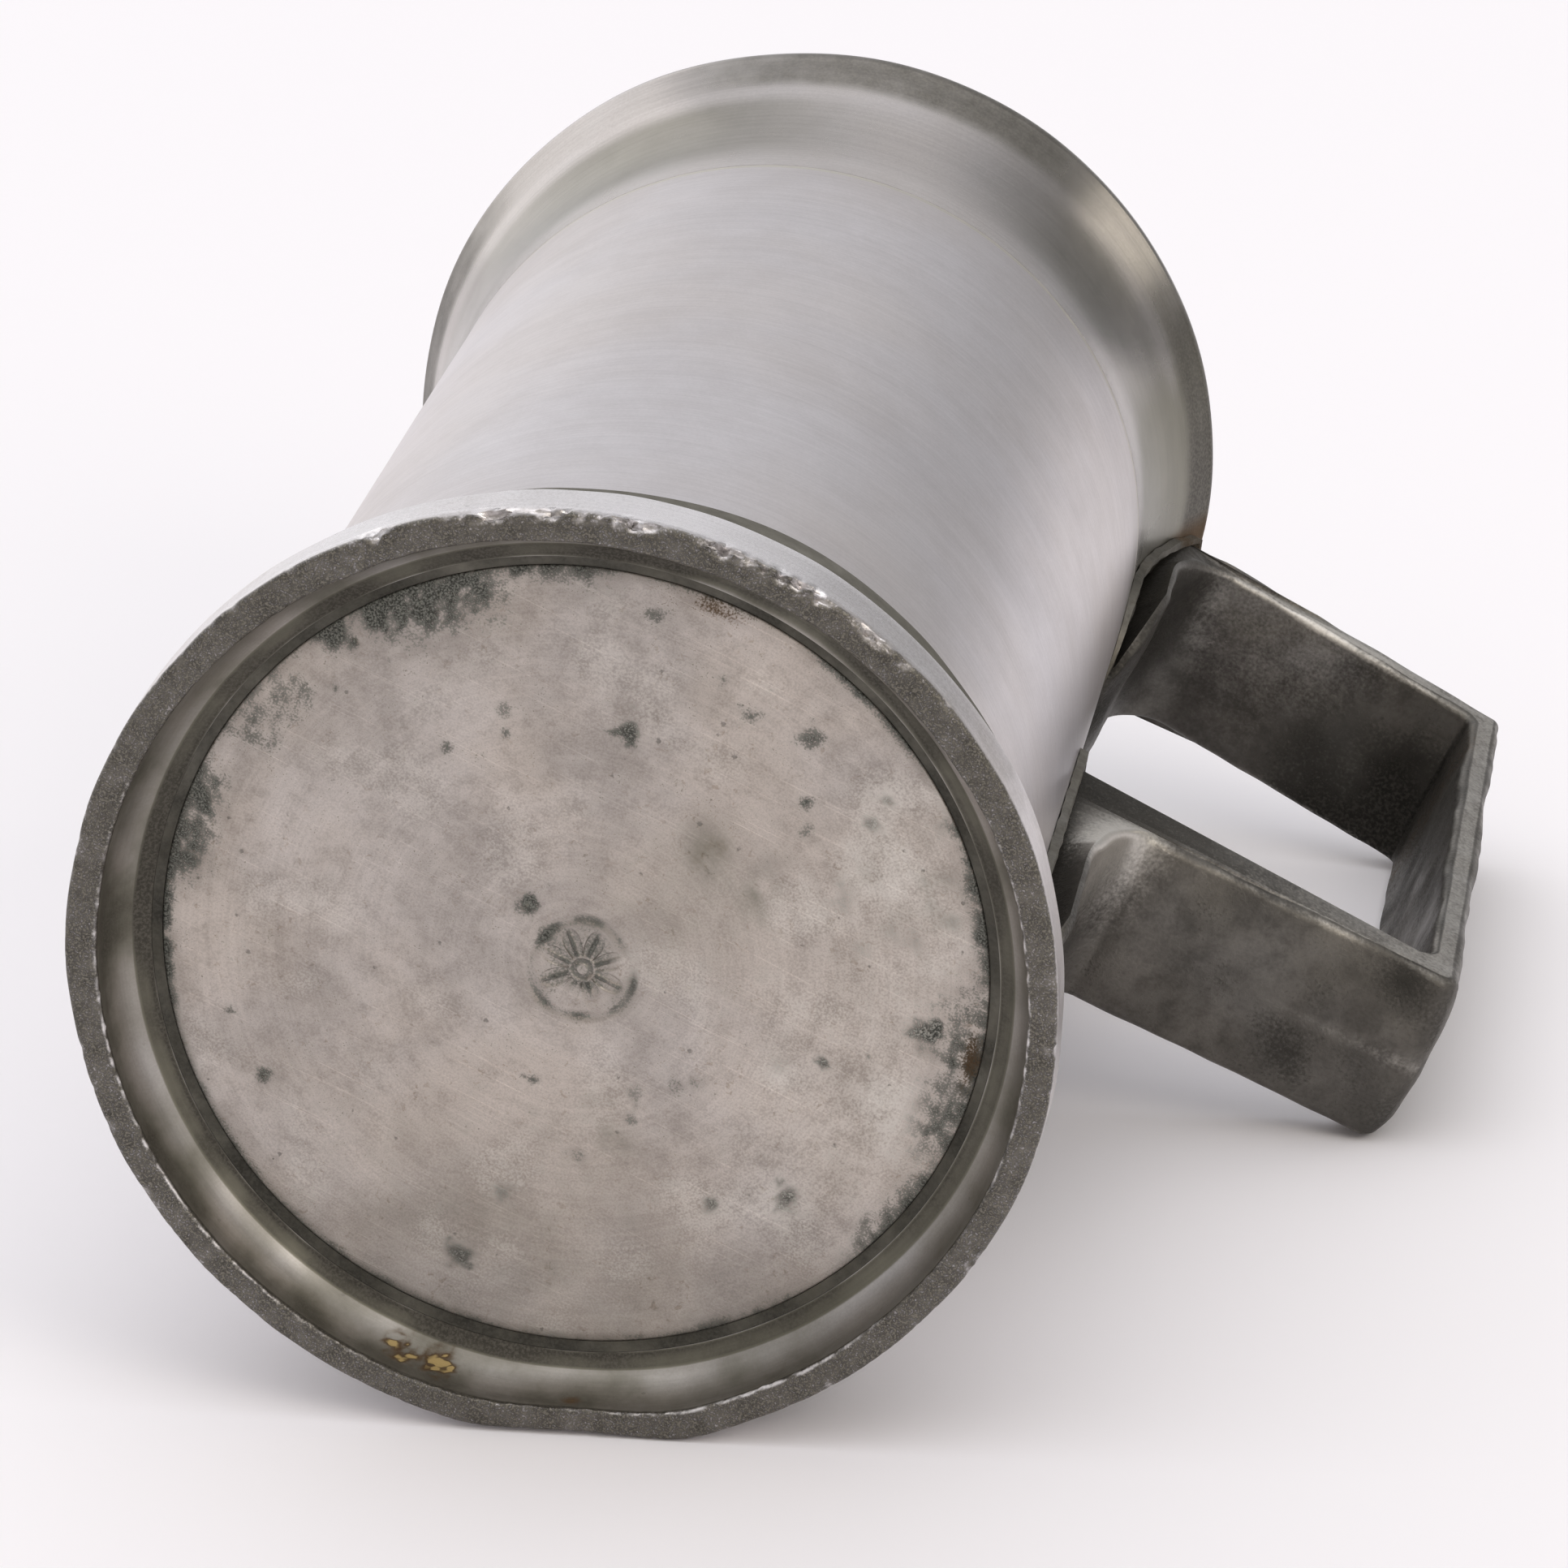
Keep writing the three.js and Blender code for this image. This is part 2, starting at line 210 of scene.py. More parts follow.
def flare_arc(steps):
    """The hollow outside the mouth, which leaves the barrel upright."""
    radius = flare_radius()
    sweep = math.degrees(math.asin((FLARE_END[1] - COVE_Z) / radius))
    return arc(BARREL_R + radius, COVE_Z, radius, 180, 180 - sweep, steps)


def wall_radius(z):
    """Outside radius of barrel and collar at a height."""
    radius = flare_radius()
    climb = np.clip(z - COVE_Z, 0, FLARE_END[1] - COVE_Z)
    cove = BARREL_R + radius - np.sqrt(radius**2 - climb**2)
    lip_z = TOTAL_H - LIP_R
    lip = RIM_R - LIP_R + np.sqrt(np.clip(LIP_R**2 - (z - lip_z) ** 2, 0, None))
    lip_from = np.radians(LIP_START)
    foot_of_lip = (RIM_R - LIP_R + LIP_R * math.cos(lip_from), lip_z + LIP_R * math.sin(lip_from))
    slope = np.interp(z, (FLARE_END[1], foot_of_lip[1]), (FLARE_END[0], foot_of_lip[0]))
    return np.where(z > foot_of_lip[1], lip, np.where(z > FLARE_END[1], slope, cove))


# ---------------------------------------------------------------- pieces
def turned(profile, turns):
    """The outline in (radius, height), turned about the axis: angle, radius and height of each point,
    and the faces. The outline runs anticlockwise and is closed."""
    count = len(profile)
    theta = np.repeat(np.linspace(-np.pi, np.pi, turns, endpoint=False), count)
    r, z = np.tile(profile[:, 0], turns), np.tile(profile[:, 1], turns)
    here = np.arange(turns * count).reshape(turns, count)
    across = np.roll(here, -1, axis=0)
    faces = np.stack([here, across, np.roll(across, -1, axis=1), np.roll(here, -1, axis=1)], axis=-1)
    return theta, r, z, faces.reshape(-1, 4).tolist()


def round_axis(theta, r, z):
    return np.column_stack([r * np.cos(theta), r * np.sin(theta), z])


def add_piece(name, node, points, faces, material, marks):
    """Makes one piece, paints its marks as point attributes and hands it to the frame."""
    mesh = bpy.data.meshes.new(name)
    mesh.from_pydata(((points + AXIS) * MM).tolist(), [], faces)
    for mark, value in marks.items():
        layer = mesh.attributes.new(mark, "FLOAT", "POINT")
        layer.data.foreach_set("value", np.clip(value, 0, 2).astype(np.float32))
    mesh.shade_smooth()
    mesh.set_sharp_from_angle(angle=math.radians(SHARP_FROM))
    mesh.materials.append(material)
    piece = bpy.data.objects.new(name, mesh)
    bpy.context.scene.collection.objects.link(piece)
    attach(piece, "root")
    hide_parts(node)


# ---------------------------------------------------------------- materials
class Look:
    """A material being made: short calls for the nodes that pewter needs."""

    def __init__(self, name):
        self.material = bpy.data.materials.new(name)
        self.material.use_nodes = True
        self.nodes = self.material.node_tree.nodes
        self.links = self.material.node_tree.links
        self.shader = self.nodes["Principled BSDF"]
        where = self.nodes.new("ShaderNodeTexCoord").outputs["Object"]
        shift = tuple(-AXIS)
        self.place = self.node("VectorMath", {0: where, 1: (1 / MM,) * 3, 2: shift},
                               operation="MULTIPLY_ADD").outputs[0]

    def put(self, socket, value):
        if isinstance(value, bpy.types.NodeSocket):
            self.links.new(value, socket)
        elif socket.type == "RGBA":
            socket.default_value = (*value, 1.0)
        else:
            socket.default_value = value

    def node(self, kind, inputs, **settings):
        made = self.nodes.new("ShaderNode" + kind)
        for key, value in settings.items():
            setattr(made, key, value)
        for key, value in inputs.items():
            self.put(made.inputs[key], value)
        return made

    def math(self, operation, a, b=0.0, c=0.0):
        return self.node("Math", {0: a, 1: b, 2: c}, operation=operation).outputs[0]

    def ramp(self, value, low, high, to_low=0.0, to_high=1.0):
        ends = {"Value": value, "From Min": low, "From Max": high, "To Min": to_low, "To Max": to_high}
        return self.node("MapRange", ends, interpolation_type="SMOOTHSTEP").outputs[0]

    def mix(self, share, a, b, blend="MIX"):
        return self.node("Mix", {0: share, 6: a, 7: b}, data_type="RGBA", blend_type=blend).outputs[2]

    def noise(self, size, detail=3.0, rough=0.55, warp=0.0):
        """Noise with features of about size mm."""
        inputs = {"Vector": self.place, "Scale": 1 / size, "Detail": detail,
                  "Roughness": rough, "Distortion": warp}
        return self.node("TexNoise", inputs).outputs[0]

    def mark(self, name):
        return self.node("Attribute", {}, attribute_name=name).outputs["Fac"]

    def lathe_lines(self, along, across):
        """Fine lines round the axis, as turning leaves: along and across are the noise's sizes in mm."""
        flat = self.node("VectorMath", {0: self.place, 1: (1, 1, 0)}, operation="MULTIPLY").outputs[0]
        radius = self.node("VectorMath", {0: flat}, operation="LENGTH").outputs["Value"]
        squeezed = self.node("VectorMath", {0: self.place, 1: (1 / along, 1 / along, 1 / across)},
                             operation="MULTIPLY").outputs[0]
        inputs = {"Vector": squeezed, "W": self.math("MULTIPLY", radius, 1 / across),
                  "Scale": 1.0, "Detail": 3.0, "Roughness": 0.6}
        return self.node("TexNoise", inputs, noise_dimensions="4D").outputs[0]

    def scratches(self, turn, length, width):
        """Straight fine scratches across the plate, at an angle in degrees."""
        place = self.node("Mapping", {"Vector": self.place, "Rotation": (0, 0, math.radians(turn)),
                                      "Scale": (1 / length, 1 / width, 0.05)}).outputs[0]
        inputs = {"Vector": place, "Scale": 1.0, "Detail": 1.0, "Roughness": 0.5, "Distortion": 0.2}
        return self.ramp(self.node("TexNoise", inputs).outputs[0], 0.68, 0.76)

    def bump(self, height, depth, normal=None):
        inputs = {"Height": height, "Distance": depth * MM, "Strength": 1.0}
        if normal:
            inputs["Normal"] = normal
        return self.node("Bump", inputs).outputs[0]


def pewter(name, light, dark, soil_and_shade=(0.075, 0.07, 0.06), metal=0.95, rough=(0.34, 0.5), cloud=9.0,
           grain=0.28, grain_depth=0.012, contrast=0.3, mottle=1.0, speckle=1.0, flecks=0.0, scratched=0.0,
           lines=0.0, lumps=0.0, pits=0.3, grit=(0.8, 3.4), bright=(0.66, 0.63, 0.58), matte=0.0):
    """Pewter with cloudy patina, fine grain and pits. The marks painted on a piece darken it (grime: dirt,
    and painted shade), brighten it (wear: worn bare metal, and painted highlights), or tint it (olive: a dark
    greenish patina, also used as painted shade; and warm: brown up to 0.7, yellow above). matte is how much
    rougher the olive makes it."""
    look = Look(name)
    clouds = look.noise(cloud, 4, 0.6, warp=0.4)
    patches = look.noise(cloud * 0.2, 5, 0.65)
    speck = look.noise(grain, 2, 0.55)
    shade = look.math("MULTIPLY_ADD", patches, 0.45, look.math("MULTIPLY", clouds, 0.55))
    colour = look.mix(look.ramp(shade, 0.34, 0.64), dark, light)
    tint = look.ramp(look.noise(cloud * 1.7, 3, 0.5), 0.35, 0.65)
    colour = look.mix(look.math("MULTIPLY", tint, 0.4), colour, (0.97, 0.91, 0.82), "MULTIPLY")
    grains = look.mix(look.ramp(speck, 0.3, 0.7), (0.72,) * 3, (1.25,) * 3)
    colour = look.mix(contrast, colour, grains, "MULTIPLY")

    coarse = look.math("MULTIPLY_ADD", patches, mottle, -0.5 * mottle)
    calm = look.ramp(look.mark("olive_and_shade"), 0.15, 0.6)
    busy = look.math("MULTIPLY_ADD", calm, -0.8 * speckle, speckle)
    uneven = look.math("MULTIPLY_ADD", look.math("SUBTRACT", speck, 0.5), busy, coarse)
    # The olive mark is a dark greenish patina, and in places painted shade.
    olive_and_shade = look.ramp(look.math("MULTIPLY_ADD", coarse, 0.7, look.mark("olive_and_shade")), 0.02, 1.0)
    colour = look.mix(olive_and_shade, colour, look.mix(clouds, (0.118, 0.113, 0.087), (0.258, 0.247, 0.202)))
    # The grime mark is dirt and also painted shade; both take the surface towards the dark dust colour.
    darkened = look.ramp(look.math("ADD", look.mark("grime_and_shade"), uneven), 0.2, 0.85)
    sharp, mild = (tuple(tuple(share * c for c in soil_and_shade) for share in ends) for ends in (grit, (1.1, 1.9)))
    grains = look.ramp(speck, 0.36, 0.68)
    dust_and_shade = look.mix(calm, look.mix(grains, *sharp), look.mix(grains, *mild))
    colour = look.mix(darkened, colour, dust_and_shade)
    tarnish = look.mark("warm")
    warm = look.ramp(look.math("MULTIPLY_ADD", uneven, 0.8, tarnish), 0.15, 0.85)
    rust = look.mix(look.ramp(tarnish, 0.7, 1.0), (0.15, 0.1, 0.06), (0.56, 0.45, 0.23))
    colour = look.mix(warm, colour, rust)
    # The wear mark is worn bare metal and also painted highlights; both take the surface towards the bright
    # colour.
    bare_and_sheen = look.ramp(look.math("MULTIPLY_ADD", uneven, 0.6, look.mark("wear_and_sheen")), 0.12, 1.0, 0.0, 0.85)
    colour = look.mix(bare_and_sheen, colour, bright)

    if flecks:
        fleck = look.noise(0.75, 3, 0.6, warp=0.6)
        gathered = look.ramp(look.noise(7.0, 3, 0.6), 0.42, 0.68, 0.35, 1.0)
        fleck = look.math("MULTIPLY", look.ramp(fleck, 0.6, 0.7), look.math("MULTIPLY", gathered, flecks))
        colour = look.mix(fleck, colour, look.mix(speck, (0.6, 0.57, 0.52), (0.85, 0.8, 0.75)), "MULTIPLY")
    if pits:
        cells = look.node("TexVoronoi", {"Vector": look.place, "Scale": 1 / 2.1, "Randomness": 1.0})
        drawn = look.node("SeparateColor", {0: cells.outputs["Color"]}).outputs[0]
        chosen = look.ramp(drawn, 0.5, 1.0, 0.0, 0.12)
        wobbly = look.math("MULTIPLY_ADD", speck, 0.16, look.math("ADD", cells.outputs["Distance"], -0.08))
        hole = look.ramp(look.math("SUBTRACT", chosen, wobbly), -0.02, 0.05)
        colour = look.mix(look.math("MULTIPLY", hole, pits), colour, soil_and_shade)

    glossy = look.ramp(shade, 0.35, 0.65, rough[1], rough[0])
    glossy = look.math("MULTIPLY_ADD", darkened, 0.2, glossy)
    glossy = look.math("MULTIPLY_ADD", bare_and_sheen, -0.1, glossy)
    glossy = look.math("MULTIPLY_ADD", olive_and_shade, matte, glossy)
    glossy = look.math("MULTIPLY_ADD", warm, 0.3, glossy)

    height = look.math("MULTIPLY_ADD", darkened, look.math("MULTIPLY", speck, 1.8), speck)
    height = look.math("MULTIPLY", height, look.math("MULTIPLY_ADD", calm, -0.75, 1.0))
    normal = look.bump(height, grain_depth)
    if pits:
        normal = look.bump(look.math("MULTIPLY", hole, -1.0), 0.04 * pits, normal)
    if lumps:
        normal = look.bump(look.noise(2.6, 4, 0.6), lumps, normal)
    if lines:
        turned_lines = look.lathe_lines(26.0, 0.3)
        normal = look.bump(turned_lines, lines, normal)
        ridges = look.mix(look.ramp(turned_lines, 0.35, 0.65), (0.93,) * 3, (1.05,) * 3)
        colour = look.mix(0.6, colour, ridges, "MULTIPLY")
    if scratched:
        for turn, length, width in ((35, 13, 0.16), (-28, 9, 0.13), (78, 17, 0.14)):
            scratch = look.scratches(turn, length, width)
            colour = look.mix(look.math("MULTIPLY", scratch, scratched), colour, (1.3,) * 3, "MULTIPLY")
            normal = look.bump(scratch, -0.006 * scratched, normal)
    shader = look.shader
    look.put(shader.inputs["Base Color"], colour)
    look.put(shader.inputs["Roughness"], glossy)
    look.put(shader.inputs["Normal"], normal)
    shader.inputs["Metallic"].default_value = metal
    return look.material


BARREL_LOOK = pewter(
    "pewter_satin", (0.63, 0.605, 0.62), (0.58, 0.555, 0.565), rough=(0.33, 0.39), cloud=24, grain=0.3,
    grain_depth=0.003, contrast=0.08, mottle=0.2, speckle=0.2, lines=0.005, pits=0)
COLLAR_LOOK = pewter(
    "pewter_collar", (0.58, 0.555, 0.555), (0.52, 0.495, 0.49), rough=(0.22, 0.28), cloud=20, grain=0.3,
    grain_depth=0.004, contrast=0.12, mottle=0.35, speckle=0.4, lines=0.004, pits=0)
FOOT_LOOK = pewter(
    "pewter_foot", (0.63, 0.605, 0.615), (0.55, 0.53, 0.53), rough=(0.3, 0.4), cloud=11, grain=0.24,
    grain_depth=0.016, mottle=0.5, speckle=1.3, contrast=0.2, lines=0.004, pits=0.2, grit=(0.5, 2.9),
    bright=(0.84, 0.82, 0.83), matte=0.2)
PLATE_LOOK = pewter(
    "pewter_bottom", (0.54, 0.495, 0.465), (0.38, 0.345, 0.32), soil_and_shade=(0.075, 0.076, 0.068),
    rough=(0.38, 0.5), cloud=10, grain=0.2, grain_depth=0.006, mottle=1.0, speckle=1.9, contrast=0.4,
    flecks=0.8, scratched=0.5, lines=0.004, pits=0.5)
HANDLE_LOOK = pewter(
    "pewter_handle", (0.17, 0.162, 0.15), (0.095, 0.09, 0.083), soil_and_shade=(0.036, 0.034, 0.03),
    rough=(0.42, 0.56), cloud=11, grain=0.36, grain_depth=0.03, mottle=0.6, speckle=0.9, lumps=0.04,
    pits=0.3, grit=(0.8, 1.7))
SOLDER_LOOK = pewter(
    "tin_solder", (0.2, 0.19, 0.172), (0.12, 0.114, 0.1), soil_and_shade=(0.05, 0.048, 0.042), rough=(0.5, 0.65),
    cloud=5, grain=0.3, grain_depth=0.02, mottle=0.6, speckle=0.7, lumps=0.04, pits=0.2, grit=(0.8, 1.8))


# ---------------------------------------------------------------- barrel
def make_barrel():
    low = PLATE_TOP + SKIN
    outline = np.vstack([
        line((BARREL_R, low), (BARREL_R, SPIGOT_Z), 1.6),
        line((BARREL_R, SPIGOT_Z), (SPIGOT_R, SPIGOT_Z), 0.6),
        line((SPIGOT_R, SPIGOT_Z), (SPIGOT_R, BARREL_TOP), 1.2),
        line((SPIGOT_R, BARREL_TOP), (BORE_R, BARREL_TOP), 0.6),
        line((BORE_R, BARREL_TOP), (BORE_R, low), 3.0),
        line((BORE_R, low), (BARREL_R, low), 1.1),
    ])
    theta, r, z, faces = turned(outline, 288)
    here = round_axis(theta, r, z)
    dent = np.zeros(len(r))
    for angle, height, depth, width in DENTS:
        far = np.hypot((np.degrees(theta) - angle) * BARREL_R * np.pi / 180, z - height)
        dent += depth * np.exp(-((far / width) ** 2))
    r = r + 0.025 * waves(here, 11, 90, 40) * (1 - smooth(SPIGOT_Z - 3, SPIGOT_Z - 0.5, z)) - dent
    inside = np.where(r < BORE_R + 0.5, 1.0, 0.0)
    near_foot = 1 - smooth(FOOT_TOP + 0.6, FOOT_TOP + 2.6, z)
    # Painted shade: the barrel made darker beside the handle and under the collar next to it, standing in for
    # the handle's shadow and dark reflection on it.
    handle_shade = 0.15 * bell(theta, 0, 20) * smooth(TAIL_LOW_Z - 8, TAIL_LOW_Z + 30, z)
    handle_shade = handle_shade + 0.5 * bell(theta, -10, 16) * smooth(COVE_Z - 14, COVE_Z, z)
    marks = {
        "grime_and_shade": inside * (0.2 + 0.3 * (1 - smooth(12, 55, z))) + 0.12 * near_foot * (1 - inside),
        "olive_and_shade": 0.35 * inside
                 + (1 - inside) * (handle_shade + 0.12 * smooth(COVE_Z - 12, COVE_Z, z) + 0.2 * near_foot),
    }
    add_piece("pewter_barrel", "barrel", round_axis(theta, r, z), faces, BARREL_LOOK, marks)


# ---------------------------------------------------------------- mouth collar
def make_collar():
    lip = (RIM_R - LIP_R, TOTAL_H - LIP_R)
    outline = np.vstack([
        line((SPIGOT_R + SKIN, COVE_Z), (BARREL_R, COVE_Z), 0.5),
        flare_arc(36),
        arc(*lip, LIP_R, LIP_START, 150, 26),
        softened(THROAT, 10),
        line((BORE_R, 132.4), (BORE_R, BARREL_TOP + SKIN), 1.2),
        [(BORE_R, BARREL_TOP + SKIN), (SPIGOT_R + SKIN, BARREL_TOP + SKIN)],
    ])
    theta, r, z, faces = turned(outline, 288)
    here = round_axis(theta, r, z)
    inside = (r < SPIGOT_R + 3) & (z > COVE_Z + 3) & (r < wall_radius(z) - 1.2)
    high = smooth(FLARE_END[1] - 6, TOTAL_H, z)
    r = r + 0.07 * waves(here, 21, 50, 14) * high
    hollow = smooth(COVE_Z, COVE_Z + 7, z) * (1 - smooth(FLARE_END[1] - 6, FLARE_END[1] - 2.5, z))
    # The lip made darker all round, less so under the painted highlights.
    rim = smooth(FLARE_END[1] - 4.2, FLARE_END[1] - 1.2, z)
    # Painted highlights at -150 and -64 degrees: the lip is made lighter there and kept out of its darkening.
    bright = bell(theta, -150, 20) + bell(theta, -64, 12)
    # Painted shade: the cove made darker towards the handle and at -145 degrees, less so at -50 degrees.
    cove_shade = 0.75 * bell(theta, -30, 38) * (1 - 0.75 * bell(theta, -50, 12)) * smooth(COVE_Z + 1, COVE_Z + 8, z)
    cove_shade = cove_shade + 0.75 * bell(theta, -8, 20) * smooth(COVE_Z - 1, COVE_Z + 3, z)
    cove_shade = cove_shade + 0.35 * bell(theta, -145, 35) * hollow
    shade = bell(theta, -10, 18) * smooth(COVE_Z, COVE_Z + 5, z) * ~inside
    marks = {
        "olive_and_shade": np.where(inside, 0.4, 0.12 + 0.26 * hollow * (1 - 0.9 * bell(theta, -95, 22)) + cove_shade
                          + 0.4 * rim * (1 - 0.7 * bright)),
        "grime_and_shade": np.where(inside, 0.2, 0.12 * hollow + 0.6 * rim * (1 - bright) + 0.4 * shade),
        "wear_and_sheen": 0.2 * bright * smooth(FLARE_END[1] - 5, FLARE_END[1] - 2, z)
                + 0.2 * smooth(TOTAL_H - 0.5, TOTAL_H, z),
        "warm": 0.7 * bell(theta, -15, 3.5) * smooth(136, 144, z) * ~inside + 0.1 * bell(theta, -150, 18),
    }
    add_piece("pewter_mouth_collar", "mouth_collar", round_axis(theta, r, z), faces,
              COLLAR_LOOK, marks)


# ---------------------------------------------------------------- foot ring
def out_of_round(theta):
    return sum(out * bell(theta, angle, width) for angle, out, width in OUT_OF_ROUND)


def make_foot():
    outline = np.vstack([
        arc(STAND_R + 0.3, 0.3, 0.3, 180, 270, 5),
        line((STAND_R + 0.45, 0), (FOOT_R - 0.6, 0), 0.28),
        arc(FOOT_R - 0.55, 0.55, 0.55, 270, 360, 7),
        line((FOOT_R, 0.75), (FOOT_R, BAND_Z - 0.3), 0.45),
        arc(FOOT_R - 0.3, BAND_Z - 0.3, 0.3, 0, 24, 2),
        line((FOOT_R - 0.25, BAND_Z), (BEVEL[0], BAND_Z + 0.15), 0.4),
        line((BEVEL[0], BAND_Z + 0.15), BEVEL, 0.5),
        line(BEVEL, (BEVEL[0] - 0.5, BEVEL[1] + 0.4), 0.3),
        arc(*SHOULDER, 262, 188, 16),
        line((BARREL_R + SKIN, FOOT_TOP), (BARREL_R + SKIN, PLATE_TOP + SKIN), 1.3),
        line((BARREL_R + SKIN, PLATE_TOP + SKIN), (SEAT_R, PLATE_TOP + SKIN), 0.4),
        line((SEAT_R, PLATE_TOP + SKIN), (SEAT_R, PLATE_LOW - 0.3), 0.8),
        line((SEAT_R, PLATE_LOW - 0.3), arc(*COVE, 62, 0, 1)[0], 0.3),
        arc(*COVE, 62, 0, 16),
        [(STAND_R, 0.8)],
    ])
    theta, r, z, faces = turned(outline, 576)
    here = round_axis(theta, r, z)
    recess = (r <= STAND_R + 0.01) & (z < PLATE_LOW + 0.2)
    face = (1 - smooth(0.2, 0.75, z)) * (r > STAND_R - 0.1)

    near = np.exp(-(((r - FOOT_R + 0.15) / 0.62) ** 2) - ((z - 0.1) / 0.75) ** 2)
    rng = np.random.default_rng(31)
    nick = sum(depth * bell(theta, angle, width) for angle, depth, width in CHIPS)
    for _ in range(70):
        nick = nick + rng.uniform(0.02, 0.11) * bell(theta, rng.uniform(-180, 180), rng.uniform(0.3, 0.9))
    ragged = np.clip(1 + 0.9 * waves(here, 32, 2.2, 0.45, 70), 0, 2)
    cut = nick * ragged * near
    inner_edge = np.exp(-(((r - STAND_R - 0.1) / 0.2) ** 2) - ((z - 0.1) / 0.3) ** 2)
    worn = 0.04 * inner_edge * waves(here, 33, 2.2, 0.6)

    step = smooth(BAND_Z + 0.05, BAND_Z + 0.15, z) * (1 - smooth(BEVEL[1] + 0.2, SHOULDER[1], z)) * (r > 37)
    round_off = out_of_round(theta) * smooth(36.9, FOOT_R, r) + 0.04 * waves(here, 34, 16, 6) * (r > STAND_R)
    upper = smooth(1.0, BAND_Z, z) * (1 - smooth(BEVEL[1] + 0.2, SHOULDER[1], z)) * (r > STAND_R)
    round_off = round_off + step * LEAN[1] * bell(theta, LEAN[0], LEAN[2])
    round_off = round_off + UPPER_LEAN[1] * upper * bell(theta, UPPER_LEAN[0], UPPER_LEAN[2])
    swirl = 0.05 * waves(here, 35, 1.6, 0.6, 60) * face
    new_r = r + round_off - 0.55 * cut - worn
    new_z = z + 0.6 * cut + np.abs(worn) + np.clip(swirl, 0, 1)

    crevice = np.exp(-(((r - SEAT_R + 0.1) / 0.45) ** 2)) * recess * (0.3 + 0.7 * bell(theta, *DIRTY_SIDE))
    loose = waves(here, 36, 14, 4)
    fine = waves(here, 37, 1.6, 0.45, 70)
    low_part = 0.5 * bell(theta, 76, 20) + 0.3 * bell(theta, -128, 26) + 0.25 * bell(theta, 168, 18)
    low_part += 0.4 * bell(theta, -62, 40) + 0.4 * bell(theta, 160, 26)
    outer_half = (0.18 + 0.16 * bell(theta, 122, 36)) * (1 - smooth(1.8, 4.4, z))
    lit = 0.5 * bell(theta, 135, 40) + 0.8 * bell(theta, 40, 15) + 0.55 * bell(theta, -25, 26) + 0.08
    broken = np.clip(cut * 2.2, 0, 1)
    # Painted shade: the step above the band made darker.
    bevel = step * (1 - smooth(BEVEL[1] + 0.3, BEVEL[1] + 2, z))
    # Painted highlight: the upright band made lighter at the top (-95 degrees) and left (-150 degrees), where
    # the light falls.
    band = smooth(0.7, 1.2, z) * (1 - smooth(BAND_Z - 0.2, BAND_Z, z)) * (r > FOOT_R - 0.4)
    corner = np.exp(-(((r - FOOT_R) / 0.3) ** 2) - ((z - 0.6) / 0.5) ** 2)
    deposit = (bell(theta, 87, 2.4) + bell(theta, 81.5, 2.4)) * hump(z, 3.4, 1.4)
    marks = {
        "grime_and_shade": 0.8 * face * (1 - 0.5 * broken) + 0.6 * crevice + 0.45 * bevel
                 + recess * (0.06 + 0.09 * loose + 0.48 * low_part + outer_half)
                 + 0.3 * hump(z, FOOT_TOP, 1.1) * (r < 38),
        "olive_and_shade": recess * (0.58 + 0.28 * low_part + 0.08 * loose + 0.4 * outer_half) + 0.85 * bevel,
        "wear_and_sheen": broken * (0.32 + 0.25 * fine) + 0.95 * lit * inner_edge * (1 + 0.5 * fine)
                + 0.85 * band * (bell(theta, -95, 32) + 0.7 * bell(theta, -150, 30))
                + (0.22 + 0.4 * bell(theta, -150, 25)) * corner,
        "warm": recess * (1.15 * deposit * np.clip(0.8 + 0.5 * fine, 0, 2)
                          + 0.8 * bell(theta, 64, 1.6) * hump(z, 1.8, 0.8)),
    }
    add_piece("pewter_foot_ring", "foot_ring", round_axis(theta, new_r, new_z), faces,
              FOOT_LOOK, marks)


# ---------------------------------------------------------------- bottom plate
def rosette(x, y, here):
    """Depth and dirt of a worn punch of eight petals in an uneven ring."""
    far = np.hypot(x, y)
    turn = np.arctan2(y, x)
    ring_r = 4.5 * (1 + 0.05 * np.sin(3 * turn + 1))
    ring = np.exp(-(((far - ring_r) / 0.42) ** 2))
    reach = 3.7 * np.abs(np.cos(4 * turn)) ** 0.4
    petal = smooth(-0.35, 0.15, reach - far) * smooth(1.0, 1.35, far)
    rib = petal * (1 - smooth(0.08, 0.26, np.abs(np.sin(4 * turn)) * far / 4))
    eye = 1 - smooth(0.1, 0.35, np.abs(far - 0.75))
    struck = np.clip(0.9 + 0.4 * waves(here, 43, 8, 3), 0, 1)
    field = 1 - smooth(4.3, 5.3, far * (1 + 0.05 * waves(here, 46, 5, 2)))
    depth = (0.2 * ring + 0.16 * petal - 0.13 * rib + 0.15 * eye) * struck
    darkened = (0.5 * ring + 0.12 * petal + 0.3 * rib + 0.3 * eye + 0.33 * field) * struck
    return depth, darkened


